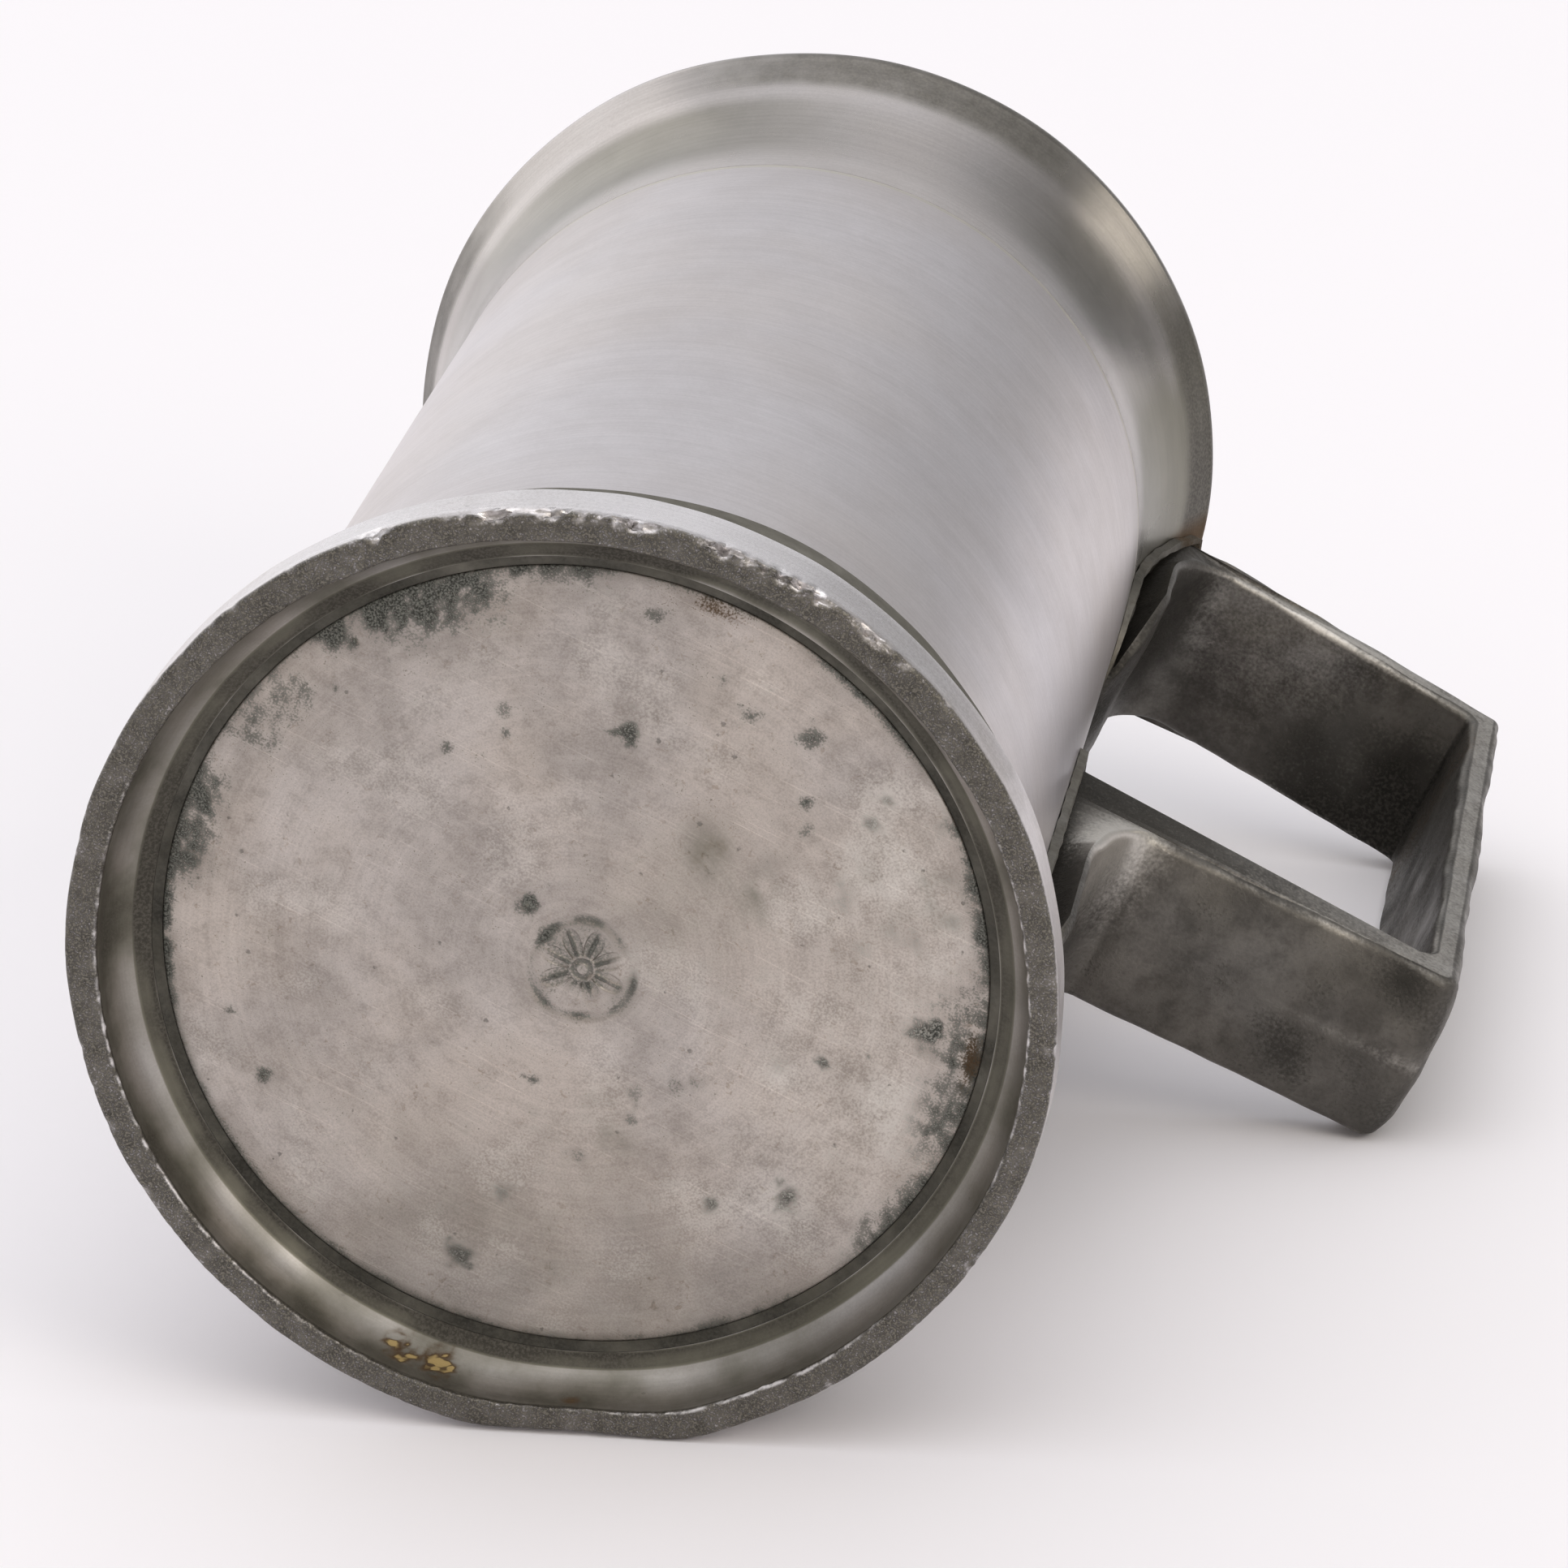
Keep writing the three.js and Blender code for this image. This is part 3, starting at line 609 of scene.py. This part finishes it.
def make_plate():
    rings = np.concatenate([np.arange(0.15, 6.0, 0.1), np.arange(6.0, PLATE_R - 0.7, 0.42)])
    under = np.column_stack([rings, np.full(len(rings), PLATE_LOW)])
    over = np.column_stack([np.arange(PLATE_R - 1, 0.3, -1.5), np.full(24, PLATE_TOP)])
    outline = np.vstack([
        under,
        arc(PLATE_R - 0.2, PLATE_LOW + 0.2, 0.2, 270, 360, 3),
        [(PLATE_R, PLATE_TOP - 0.6), (PLATE_R, PLATE_TOP)],
        over,
    ])
    turns = 360
    theta, r, z, faces = turned(outline, turns)
    count = len(outline)
    faces = [f for f in faces if f[3] % count or f[0] % count != count - 1]
    here = round_axis(theta, r, z)
    x, y = here[:, 0], here[:, 1]
    below = z < PLATE_LOW + 0.2

    depth, darkened = rosette(x - ROSETTE[0], y - ROSETTE[1], here)
    edge_noise = waves(here, 47, 2.6, 1.0, 60)
    spots = np.zeros(len(r))
    for sx, sy, size, strength in SPOTS:
        away = np.hypot(x - sx, y - sy) * (1 + 0.22 * edge_noise) / size / 1.3
        spots = np.maximum(spots, 1.05 * strength * np.exp(-(away**3)))
    edges = np.zeros(len(r))
    for angle, radius, wide, deep, strength in EDGE_STAINS:
        away = (np.degrees(theta) - angle + 180) % 360 - 180
        edges = np.maximum(edges, strength * np.exp(-((away / wide) ** 4) - ((r - radius) / deep) ** 2))
    mottle = waves(here, 41, 8, 1.6, 60)
    fine = waves(here, 42, 2.4, 0.7, 60)
    rim = hump(r, PLATE_R, 0.5) * (0.2 + 0.5 * bell(theta, *DIRTY_SIDE))
    rusty = hump(r, PLATE_R - 0.8, 0.9) * (0.6 * bell(theta, -94, 6) + 0.7 * bell(theta, -14, 5))
    olive_patch = 0.8 * blot(x, y, (5.5, -15.4), 2.6)
    green = 0.55 * blot(x, y, (11.4, -13.6), 2.6)
    green += 0.4 * blot(x, y, (24, -20), 7) + 0.3 * blot(x, y, (10, 13), 5)
    faint = 0.36 * smooth(6, 28, y) * smooth(-30, 5, x) + 0.32 * blot(x, y, (6, -8), 9)
    # Painted highlight: the bottom made lighter towards +X.
    painted_sheen = 0.34 * smooth(6, 28, x) * smooth(24, 4, y)
    z = z + below * (depth + 0.05 * waves(here, 44, 24, 9) * smooth(PLATE_R, PLATE_R - 4, r)
                     + 0.02 * spots)
    marks = {
        "grime_and_shade": below * (spots + 0.85 * edges * (1 + 0.3 * fine) + rim + darkened + 0.2 * green * mottle
                          + 0.07 * np.clip(mottle, 0, 2)) + ~below * 0.35,
        "olive_and_shade": below * (0.3 * darkened + green * (0.6 + 0.3 * mottle) + olive_patch * 0.6 + 0.12 * edges
                          + faint) + ~below * 0.4,
        "warm": below * (0.35 * olive_patch + rusty),
        "wear_and_sheen": below * (0.2 * np.clip(waves(here, 45, 16, 5), 0, 1.5) + painted_sheen)
                * (1 - np.clip(1.5 * edges, 0, 1)),
    }
    points = np.vstack([round_axis(theta, r, z), [[0, 0, PLATE_LOW], [0, 0, PLATE_TOP]]])
    marks = {k: np.append(v, [v[0], v[count - 1]]) for k, v in marks.items()}
    bottom, top = turns * count, turns * count + 1
    for i in range(turns):
        j = (i + 1) % turns
        faces.append([bottom, j * count, i * count])
        faces.append([top, i * count + count - 1, j * count + count - 1])
    add_piece("pewter_bottom_plate", "bottom_plate", points, faces, PLATE_LOOK, marks)


# ---------------------------------------------------------------- handle
def low_at(x):
    return ARM_LOW_Z - ARM_LOW_RISE * (REACH - CROWN - x)


def top_at(x):
    return ARM_TOP[1] - ARM_TOP_FALL * (x - ARM_TOP[0])


def under_at(x):
    return top_at(x) - ARM_TOP_T


def handle_outline():
    """Side view of the strap: x, z, the way the face looks, how much it bulges, and how wide it is."""
    outside = REACH - CROWN
    inside = outside - GRIP_T
    tail_x = BARREL_R + TAIL_T
    deep = BARREL_R - 6
    rows = []

    def add(x, z, nx, nz, bulge=0.0, narrow=1.0):
        rows.append((x, z, nx, nz, bulge, narrow))

    def add_arc(x, z, radius, start, end, steps, side, bulge=0.0):
        for px, pz in arc(x, z, radius, start, end, steps):
            add(px, pz, side * (px - x) / radius, side * (pz - z) / radius, bulge)

    def add_tail(low):
        add(deep, low, 0, -1, 0, 0.35)
        for t in (np.arange(15) / 14) ** 1.5:
            thick = 0.4 + (TAIL_T - 0.4) * math.sqrt(t)
            narrow = ROOT_FLARE * max(0.35, math.sqrt(1 - (1 - t) ** 2))
            add(BARREL_R + thick, low + TAIL_TIP * t, 0.9, -0.4 * (1 - t), 0, narrow)

    def add_fillet(arm, across, down, bulge=0.0):
        for turn in np.linspace(0, math.pi / 2, 19):
            x = tail_x + across * (1 - math.cos(turn))
            nx, nz = down * math.cos(turn), -across * math.sin(turn)
            size = math.hypot(nx, nz)
            done = turn * 2 / math.pi
            flare = 1 + (ROOT_FLARE - 1) * (1 - done)
            add(x, arm(x) - down * (1 - math.sin(turn)), nx / size, nz / size, bulge * done, flare)

    add_tail(TAIL_LOW_Z)
    add_fillet(low_at, 5.5, 15, 1)
    add_arc(outside - 1.8, low_at(outside) + 1.8, 1.8, -88, -2, 9, 1, 1)
    add_arc(outside - 0.9, top_at(outside) - 0.9, 0.9, 2, 78, 7, 1, 1)
    add(60, top_at(60), 0.16, 0.98, 1)
    add(ARM_TOP[0], ARM_TOP[1], 0, 1, 0.8)
    add(ARM_TOP[0] - 2.2, ARM_TOP[1] - 1.1, -0.3, 0.95, 0.3, 1 + (ROOT_FLARE - 1) / 2)
    add(deep, ARM_TOP[1] - 3, 0, 1, 0, ROOT_FLARE)
    add_tail(TAIL_TOP_Z)
    add_fillet(under_at, 7, 11)
    add_arc(inside - 1.2, under_at(inside) - 1.2, 1.2, 84, 4, 7, -1)
    add_arc(inside - 1.8, ARM_LOW_TOP + 1.8, 1.8, -2, -88, 7, -1)
    add_arc(tail_x + 0.2, ARM_LOW_TOP + 2.2, 2.2, -92, -150, 7, -1)
    add(deep, ARM_LOW_TOP + 2.6, 0, 1, 0, ROOT_FLARE)
    outline = np.array(rows)
    following = np.roll(outline, -1, axis=0)
    fine = []
    for a, b in zip(outline, following):
        count = max(1, int(math.hypot(*(b[:2] - a[:2])) / 0.9))
        fine.extend(a + (b - a) * k / count for k in range(count))
    return np.array(fine)


def make_handle():
    outline = handle_outline()
    count = len(outline)
    turn = np.radians(np.linspace(0, 90, 7))
    edge = np.column_stack([HALF_W - EDGE * (1 - np.sin(turn)), EDGE * (1 - np.cos(turn))])
    middle = [(y, 0.0) for y in np.linspace(0, HALF_W - EDGE, 9)[:-1]]
    near = np.vstack([middle, edge])
    rows = np.vstack([near[:0:-1] * (-1, 1), near])

    px, pz, nx, nz, bulge, narrow = outline.T
    blocks = []
    for y, inset in rows:
        push = bulge * CROWN * (1 - (y / HALF_W) ** 2) - inset
        blocks.append(np.column_stack([px + nx * push, y * narrow, pz + nz * push]))
    points = np.vstack(blocks)
    across = np.repeat(np.abs(rows[:, 0]) / HALF_W, count)
    rounded = np.repeat(rows[:, 1] / EDGE, count)
    facing = np.tile(np.column_stack([nx, np.zeros(count), nz]), (len(rows), 1))
    surface = waves(points, 51, 14, 3.5, 50)
    points = points + facing * (0.11 * surface * (1 - rounded))[:, None]
    points[:, 1] += 0.08 * rounded * np.sign(points[:, 1]) * waves(points, 52, 12, 4)

    wall = np.sqrt(np.clip(wall_radius(points[:, 2]) ** 2 - points[:, 1] ** 2, 0, None)) + ROOT_GAP
    wall = wall + LIP_GAP * smooth(FLARE_END[1] - 6, FLARE_END[1], points[:, 2])
    sunk = points[:, 0] < wall
    points[:, 0] = np.maximum(points[:, 0], wall)

    here = np.arange(len(rows) * count).reshape(len(rows), count)
    along = np.roll(here, -1, axis=1)
    quads = np.stack([here[:-1], here[1:], along[1:], along[:-1]], axis=-1).reshape(-1, 4)
    faces = quads.tolist()
    last = (len(rows) - 1) * count
    flat = [Vector((x, z, 0)) for x, z in np.column_stack([px - EDGE * nx, pz - EDGE * nz])]
    for a, b, c in tessellate_polygon([flat]):
        faces.append([a, b, c])
        faces.append([last + a, last + c, last + b])

    x, z = points[:, 0], points[:, 2]
    corner_low = blot(x, z, (REACH, ARM_LOW_Z), 3.5)
    corner_top = blot(x, z, (REACH, top_at(REACH)), 3.5)
    edge_wear = hump(rounded, 0.35, 0.35) * (rounded > 0)
    under = (facing[:, 2] < -0.6) & (z < ARM_LOW_Z + 2)
    # Painted shade where the strap meets the wall.
    root = hump(x, wall, 2.6)
    inner_grip = (facing[:, 0] < -0.6) & (x > REACH - 8)
    upper_under = (facing[:, 2] < -0.5) & (z > TAIL_TOP_Z)
    free = smooth(BARREL_R + 8, BARREL_R + 20, x)
    side = smooth(0.75, 1.0, rounded)
    lower = 0.5 + 0.5 * points[:, 1] / HALF_W
    # Painted shade on the rounded edges near the roots; painted light on the -Y side of the lower root.
    near_root = 1 - smooth(BARREL_R + 4, BARREL_R + 13, x)
    lit_root = near_root * np.clip(1 - 1.3 * lower, 0, 1) * smooth(50, 62, z)
    lit_root = lit_root * (z < ARM_LOW_TOP) * (x > wall + 1.5)
    # Painted light: the -Y half of the upper arm's underside made lighter near the barrel.
    painted_sheen = (1 - lower) * (1 - smooth(52, 72, x)) * smooth(BARREL_R + 3, BARREL_R + 10, x)
    # Painted shade: darker at the roots, under the upper arm (more so towards +Y) and under the lower arm.
    # Painted highlight along the middle of the lower arm's underside.
    marks = {
        "grime_and_shade": 0.2 + 0.1 * waves(points, 53, 18, 5) + 0.25 * root + 0.25 * inner_grip - 0.15 * side
                 + upper_under * (0.9 * smooth(45, 68, x) * (0.15 + lower) - 0.15)
                 + 0.22 * under * smooth(58, 72, x) + 0.15 * near_root * (rounded > 0)
                 - 0.6 * lit_root,
        "wear_and_sheen": 0.3 * edge_wear * free * (1 + 0.2 * waves(points, 54, 10, 3)) + 0.5 * side * free
                + 0.1 * corner_low + 0.1 * corner_top + 1.0 * lit_root
                + 0.55 * upper_under * painted_sheen
                + 0.3 * under * hump(across, 0, 0.12) * smooth(50, 68, x),
        "warm": 0.5 * blot(x, z, (ARM_TOP[0] - 1.5, ARM_TOP[1]), 2.4) + 0.3 * inner_grip * hump(z, 132, 6),
        "olive_and_shade": 0.1 + 0.12 * upper_under * smooth(46, 66, x),
    }
    marks["grime_and_shade"] = np.where(sunk, 0.8, marks["grime_and_shade"])
    add_piece("pewter_handle", "handle", points, faces, HANDLE_LOOK, marks)


# ---------------------------------------------------------------- solder
def make_ring(name, node, outline, seed, grime_and_shade, wear_and_sheen=0.0, cleaner=0.0):
    """A ring of solder. cleaner is how much brighter it is on the side that the drips didn't reach."""
    theta, r, z, faces = turned(np.array(outline), 288)
    here = round_axis(theta, r, z)
    rough = waves(here, seed, 9, 3)
    z = z + 0.015 * rough
    clean = cleaner * (1 - bell(theta, *DIRTY_SIDE))
    marks = {"grime_and_shade": grime_and_shade - clean + 0.06 * rough, "olive_and_shade": np.full(len(r), 0.5), "wear_and_sheen": wear_and_sheen + 0.8 * clean}
    add_piece(name, node, round_axis(theta, r, z), faces, SOLDER_LOOK, marks)


def make_fillet(name, node, low, high, seed, grime_and_shade):
    """A hollow bead of solder on the wall, round the outline of one of the handle's roots."""
    half = HALF_W * ROOT_FLARE - 0.15
    up = np.linspace(high, low + TAIL_TIP, 40)
    turn = np.linspace(0, math.pi, 41)[1:-1]
    tip = np.column_stack([half * np.cos(turn), low + TAIL_TIP - TAIL_TIP * np.sin(turn)])
    over = np.linspace(-half, half, 22)[1:-1]
    path = np.vstack([
        np.column_stack([np.full(40, half), up]),
        tip,
        np.column_stack([np.full(40, -half), up[::-1]]),
        np.column_stack([over, np.full(20, high)]),
    ])
    ahead, behind = np.roll(path, -1, axis=0), np.roll(path, 1, axis=0)
    way = ahead - behind
    way /= np.linalg.norm(way, axis=1)[:, None]
    out = np.column_stack([-way[:, 1], way[:, 0]]) * -1
    risen = np.sqrt(np.clip((path[:, 1] - low) / TAIL_TIP, 0, 1))
    thick = np.clip(0.3 + TAIL_T * risen, 0.3, 2.7) * BEAD_CLIMB
    flow = np.column_stack([path, np.zeros(len(path))])
    width = BEAD_WIDTH + 0.2 * waves(flow, seed, 9, 3)
    turn = np.radians(np.linspace(0, 90, 7))
    shape = [(1 - math.sin(a), 1 - math.cos(a)) for a in turn] + [(-0.35, 0.95), (-0.35, 0.04), (1.0, 0.0)]
    blocks = []
    for outward, lift in shape[:-1]:
        spot = path + out * (outward * width)[:, None]
        radius = wall_radius(spot[:, 1]) + 0.02 + lift * thick
        depth = np.sqrt(np.clip(radius**2 - spot[:, 0] ** 2, 0, None))
        blocks.append(np.column_stack([depth, spot[:, 0], spot[:, 1]]))
    points = np.vstack(blocks)
    count = len(path)
    here = np.arange(len(blocks) * count).reshape(len(blocks), count)
    along, lower = np.roll(here, -1, axis=1), np.roll(here, -1, axis=0)
    faces = np.stack([here, along, np.roll(lower, -1, axis=1), lower], axis=-1).reshape(-1, 4).tolist()
    points = points + 0.04 * waves(points, seed + 1, 4, 1.2)[:, None] * (1, 0.3, 0.3)
    loose = waves(points, seed + 2, 8, 2)
    marks = {
        "grime_and_shade": grime_and_shade + 0.12 * loose,
        "olive_and_shade": 0.3 + 0.05 * loose,
        "warm": 0.2 * np.clip(waves(points, seed + 3, 10, 3), 0, 1) + 0.4 * (points[:, 2] > ARM_TOP[1] - 6),
    }
    add_piece(name, node, points, faces, SOLDER_LOOK, marks)


def make_solder():
    gap = SKIN / 3
    make_ring("solder_round_plate", "bottom_plate_solder", [
        (PLATE_R + gap, PLATE_LOW + 0.12), (PLATE_R + 0.3, PLATE_LOW + 0.02),
        (PLATE_R + 0.6, PLATE_LOW - 0.08), (SEAT_R - gap, PLATE_LOW - 0.22),
        (SEAT_R - gap, PLATE_TOP - SKIN), (PLATE_R + gap, PLATE_TOP - SKIN),
    ], 61, 0.65, cleaner=0.1)
    corner = (BARREL_R + SKIN, FOOT_TOP + SKIN)
    hollow = arc(corner[0] + 1.0, corner[1] + 1.3, 1.0, 262, 185, 7)
    hollow = [(r, corner[1] + (z - corner[1]) * 0.98) for r, z in hollow]
    outline = [corner, (corner[0] + 0.9, corner[1]), *hollow[1:]]
    make_ring("solder_on_foot", "foot_ring_solder", outline, 62, 0.15, wear_and_sheen=0.35)
    make_ring("solder_under_collar", "mouth_collar_solder", [
        (SPIGOT_R + SKIN, SPIGOT_Z + gap), (BARREL_R - 0.01, SPIGOT_Z + gap),
        (BARREL_R - 0.02, SPIGOT_Z + 0.4), (BARREL_R - 0.01, COVE_Z - gap), (SPIGOT_R + SKIN, COVE_Z - gap),
    ], 63, 0.0, wear_and_sheen=1.2)
    make_fillet("solder_lower_root", "lower_handle_solder", TAIL_LOW_Z, ARM_LOW_TOP + 2.0, 64, 0.15)
    make_fillet("solder_upper_root", "upper_handle_solder", TAIL_TOP_Z, ARM_TOP[1] - 1.6, 70, 0.4)


# ---------------------------------------------------------------- camera, floor and light
CAMERA_AT = (-10.2, -256.5, -544.6)      # mm about the axis
AIM = (10.8, -0.9, 60.1)
CAMERA_UP = (-0.4532, -0.8153, 0.3603)
LENS, SENSOR = 162.8, 36.0
FLOOR_UP = (-0.4578, -0.8890, -0.0095)   # the mug lies on its side on the photo's floor: a first guess


def place_camera():
    data = bpy.data.cameras.new("camera")
    data.lens, data.sensor_width = LENS, SENSOR
    data.clip_start, data.clip_end = 0.05, 20
    camera = bpy.data.objects.new("camera", data)
    bpy.context.scene.collection.objects.link(camera)
    bpy.context.scene.camera = camera
    back = (Vector(CAMERA_AT) - Vector(AIM)).normalized()
    side = Vector(CAMERA_UP).cross(back).normalized()
    above = back.cross(side)
    turn = Matrix((side, above, back)).transposed().to_4x4()
    at = (Vector(CAMERA_AT) + Vector(AXIS)) * MM
    camera.matrix_world = Matrix.Translation(at) @ turn
    return back


def floor_material(name, colour):
    """Pale and plain, and not there for who looks at it from behind."""
    look = Look(name)
    clear = look.nodes.new("ShaderNodeBsdfTransparent")
    behind = look.nodes.new("ShaderNodeNewGeometry").outputs["Backfacing"]
    look.put(look.shader.inputs["Base Color"], colour)
    look.shader.inputs["Roughness"].default_value = 0.7
    look.shader.inputs["Specular IOR Level"].default_value = 0.2
    both = look.nodes.new("ShaderNodeMixShader")
    look.links.new(behind, both.inputs[0])
    look.links.new(look.shader.outputs[0], both.inputs[1])
    look.links.new(clear.outputs[0], both.inputs[2])
    look.links.new(both.outputs[0], look.nodes["Material Output"].inputs["Surface"])
    return look.material


def make_floor(name, at, along, across, reach, colour):
    """A flat floor. reach is how far it goes along, back, and to each side, in metres."""
    ahead, behind, aside = reach
    outline = [at + along * a + across * b
               for a, b in ((ahead, -aside), (ahead, aside), (-behind, aside), (-behind, -aside))]
    mesh = bpy.data.meshes.new(name)
    mesh.from_pydata(outline, [], [(0, 1, 2, 3)])
    mesh.materials.append(floor_material(name, colour))
    floor = bpy.data.objects.new(name, mesh)
    bpy.context.scene.collection.objects.link(floor)
    return floor


def resting_floor():
    """The floor that the lying mug touches with foot, lip and handle: the way up, and its height."""
    touching = []
    for name in ("pewter_foot_ring", "pewter_mouth_collar", "pewter_handle"):
        vertices = bpy.data.objects[name].data.vertices
        flat = np.zeros(3 * len(vertices))
        vertices.foreach_get("co", flat)
        touching.append(flat.reshape(-1, 3))
    up = np.array(FLOOR_UP)
    for _ in range(20):
        foot, lip, handle = (points[np.argmin(points @ up)] for points in touching)
        normal = np.cross(lip - foot, handle - foot)
        normal /= np.linalg.norm(normal)
        up = normal * np.sign(normal @ up)
    return Vector(up), float(foot @ up)


def make_world(up, back):
    world = bpy.data.worlds.new("studio")
    bpy.context.scene.world = world
    world.use_nodes = True
    nodes, links = world.node_tree.nodes, world.node_tree.links
    sky = nodes["Background"]
    way = nodes.new("ShaderNodeTexCoord").outputs["Generated"]

    def along(axis):
        dot = nodes.new("ShaderNodeVectorMath")
        dot.operation = "DOT_PRODUCT"
        links.new(way, dot.inputs[0])
        dot.inputs[1].default_value = axis
        return dot.outputs["Value"]

    def ranged(value, low, high, to_low, to_high):
        made = nodes.new("ShaderNodeMapRange")
        made.interpolation_type = "SMOOTHSTEP"
        links.new(value, made.inputs["Value"])
        for key, number in zip(("From Min", "From Max", "To Min", "To Max"), (low, high, to_low, to_high)):
            made.inputs[key].default_value = number
        return made.outputs[0]

    def maths(operation, a, b):
        made = nodes.new("ShaderNodeMath")
        made.operation = operation
        for socket, value in zip(made.inputs, (a, b)):
            if isinstance(value, bpy.types.NodeSocket):
                links.new(value, socket)
            else:
                socket.default_value = value
        return made.outputs[0]

    to_camera = (back - up * back.dot(up)).normalized()
    to_right = to_camera.cross(up) * -1
    right, high, near = along(to_right), along(up), along(to_camera)
    base = maths("ADD", ranged(right, 0.15, 0.75, 0.5, 0.0), 0.29)
    behind = maths("MULTIPLY", ranged(near, -1.0, -0.7, 0.22, 0.0), ranged(right, -0.35, 0.1, 1.0, 0.0))
    front = ranged(near, -0.3, 0.6, 1.0, 0.65)
    fill = maths("MULTIPLY", ranged(right, 0.1, 0.6, 0.0, 0.62), ranged(near, -0.1, 0.5, 0.0, 1.0))
    overhead = maths("MULTIPLY", ranged(high, 0.6, 1.0, 0.0, 1.2), ranged(near, -0.5, 0.1, 0.15, 1.0))
    strength = maths("MULTIPLY", maths("ADD", base, behind), front)
    strength = maths("ADD", maths("ADD", strength, fill), overhead)
    tint = nodes.new("ShaderNodeMix")
    tint.data_type = "RGBA"
    links.new(ranged(near, 0.0, 0.8, 0.0, 1.0), tint.inputs[0])
    tint.inputs[6].default_value = (0.985, 0.98, 1.0, 1)
    tint.inputs[7].default_value = (1.0, 0.94, 0.88, 1)
    links.new(tint.outputs[2], sky.inputs["Color"])
    links.new(strength, sky.inputs["Strength"])

    plain = nodes.new("ShaderNodeBackground")
    plain.inputs["Color"].default_value = (0.955, 0.945, 0.985, 1)
    seen = nodes.new("ShaderNodeLightPath").outputs["Is Camera Ray"]
    both = nodes.new("ShaderNodeMixShader")
    links.new(seen, both.inputs[0])
    links.new(sky.outputs[0], both.inputs[1])
    links.new(plain.outputs[0], both.inputs[2])
    links.new(both.outputs[0], nodes["World Output"].inputs["Surface"])
    return to_camera, to_right


def add_lamp(name, at, aim, size, power, colour):
    data = bpy.data.lights.new(name, "AREA")
    data.shape, data.size, data.energy, data.color = "SQUARE", size, power, colour
    lamp = bpy.data.objects.new(name, data)
    bpy.context.scene.collection.objects.link(lamp)
    lamp.location = at
    lamp.rotation_mode = "QUATERNION"
    lamp.rotation_quaternion = (aim - at).to_track_quat("-Z", "Y")


def set_the_stage():
    back = place_camera()
    up, floor_height = resting_floor()
    to_camera, to_right = make_world(up, back)
    centre = Vector(AXIS) * MM
    under_foot = centre + up * (floor_height - centre.dot(up))
    make_floor("photo_floor", under_foot, to_camera, to_right, (0.35, 2.0, 2.0), (0.945, 0.93, 0.96))
    standing = make_floor("standing_floor", Vector((0, 0, -0.0002)), Vector((1, 0, 0)), Vector((0, 1, 0)),
                          (2.0, 2.0, 2.0), (0.86, 0.855, 0.88))
    for ray in ("diffuse", "glossy", "transmission", "shadow", "volume_scatter"):
        setattr(standing, "visible_" + ray, False)
    middle = centre + Vector((0, 0, 0.07))
    for name, right, high, near, size, power, colour in [
        ("softbox_left", -0.9, 0.63, -1.02, 1.1, 1.9, (1, 0.97, 0.95)),
        ("softbox_right", 0.9, 0.4, -0.32, 0.32, 0.42, (1, 0.92, 0.8)),
        ("softbox_front", 0.52, 0.55, 0.66, 0.34, 1.3, (1, 0.93, 0.82)),
    ]:
        add_lamp(name, middle + to_right * right + up * high + to_camera * near, middle, size, power, colour)
    scene = bpy.context.scene
    scene.view_settings.view_transform = "Standard"


make_barrel()
make_collar()
make_foot()
make_plate()
make_handle()
make_solder()
set_the_stage()
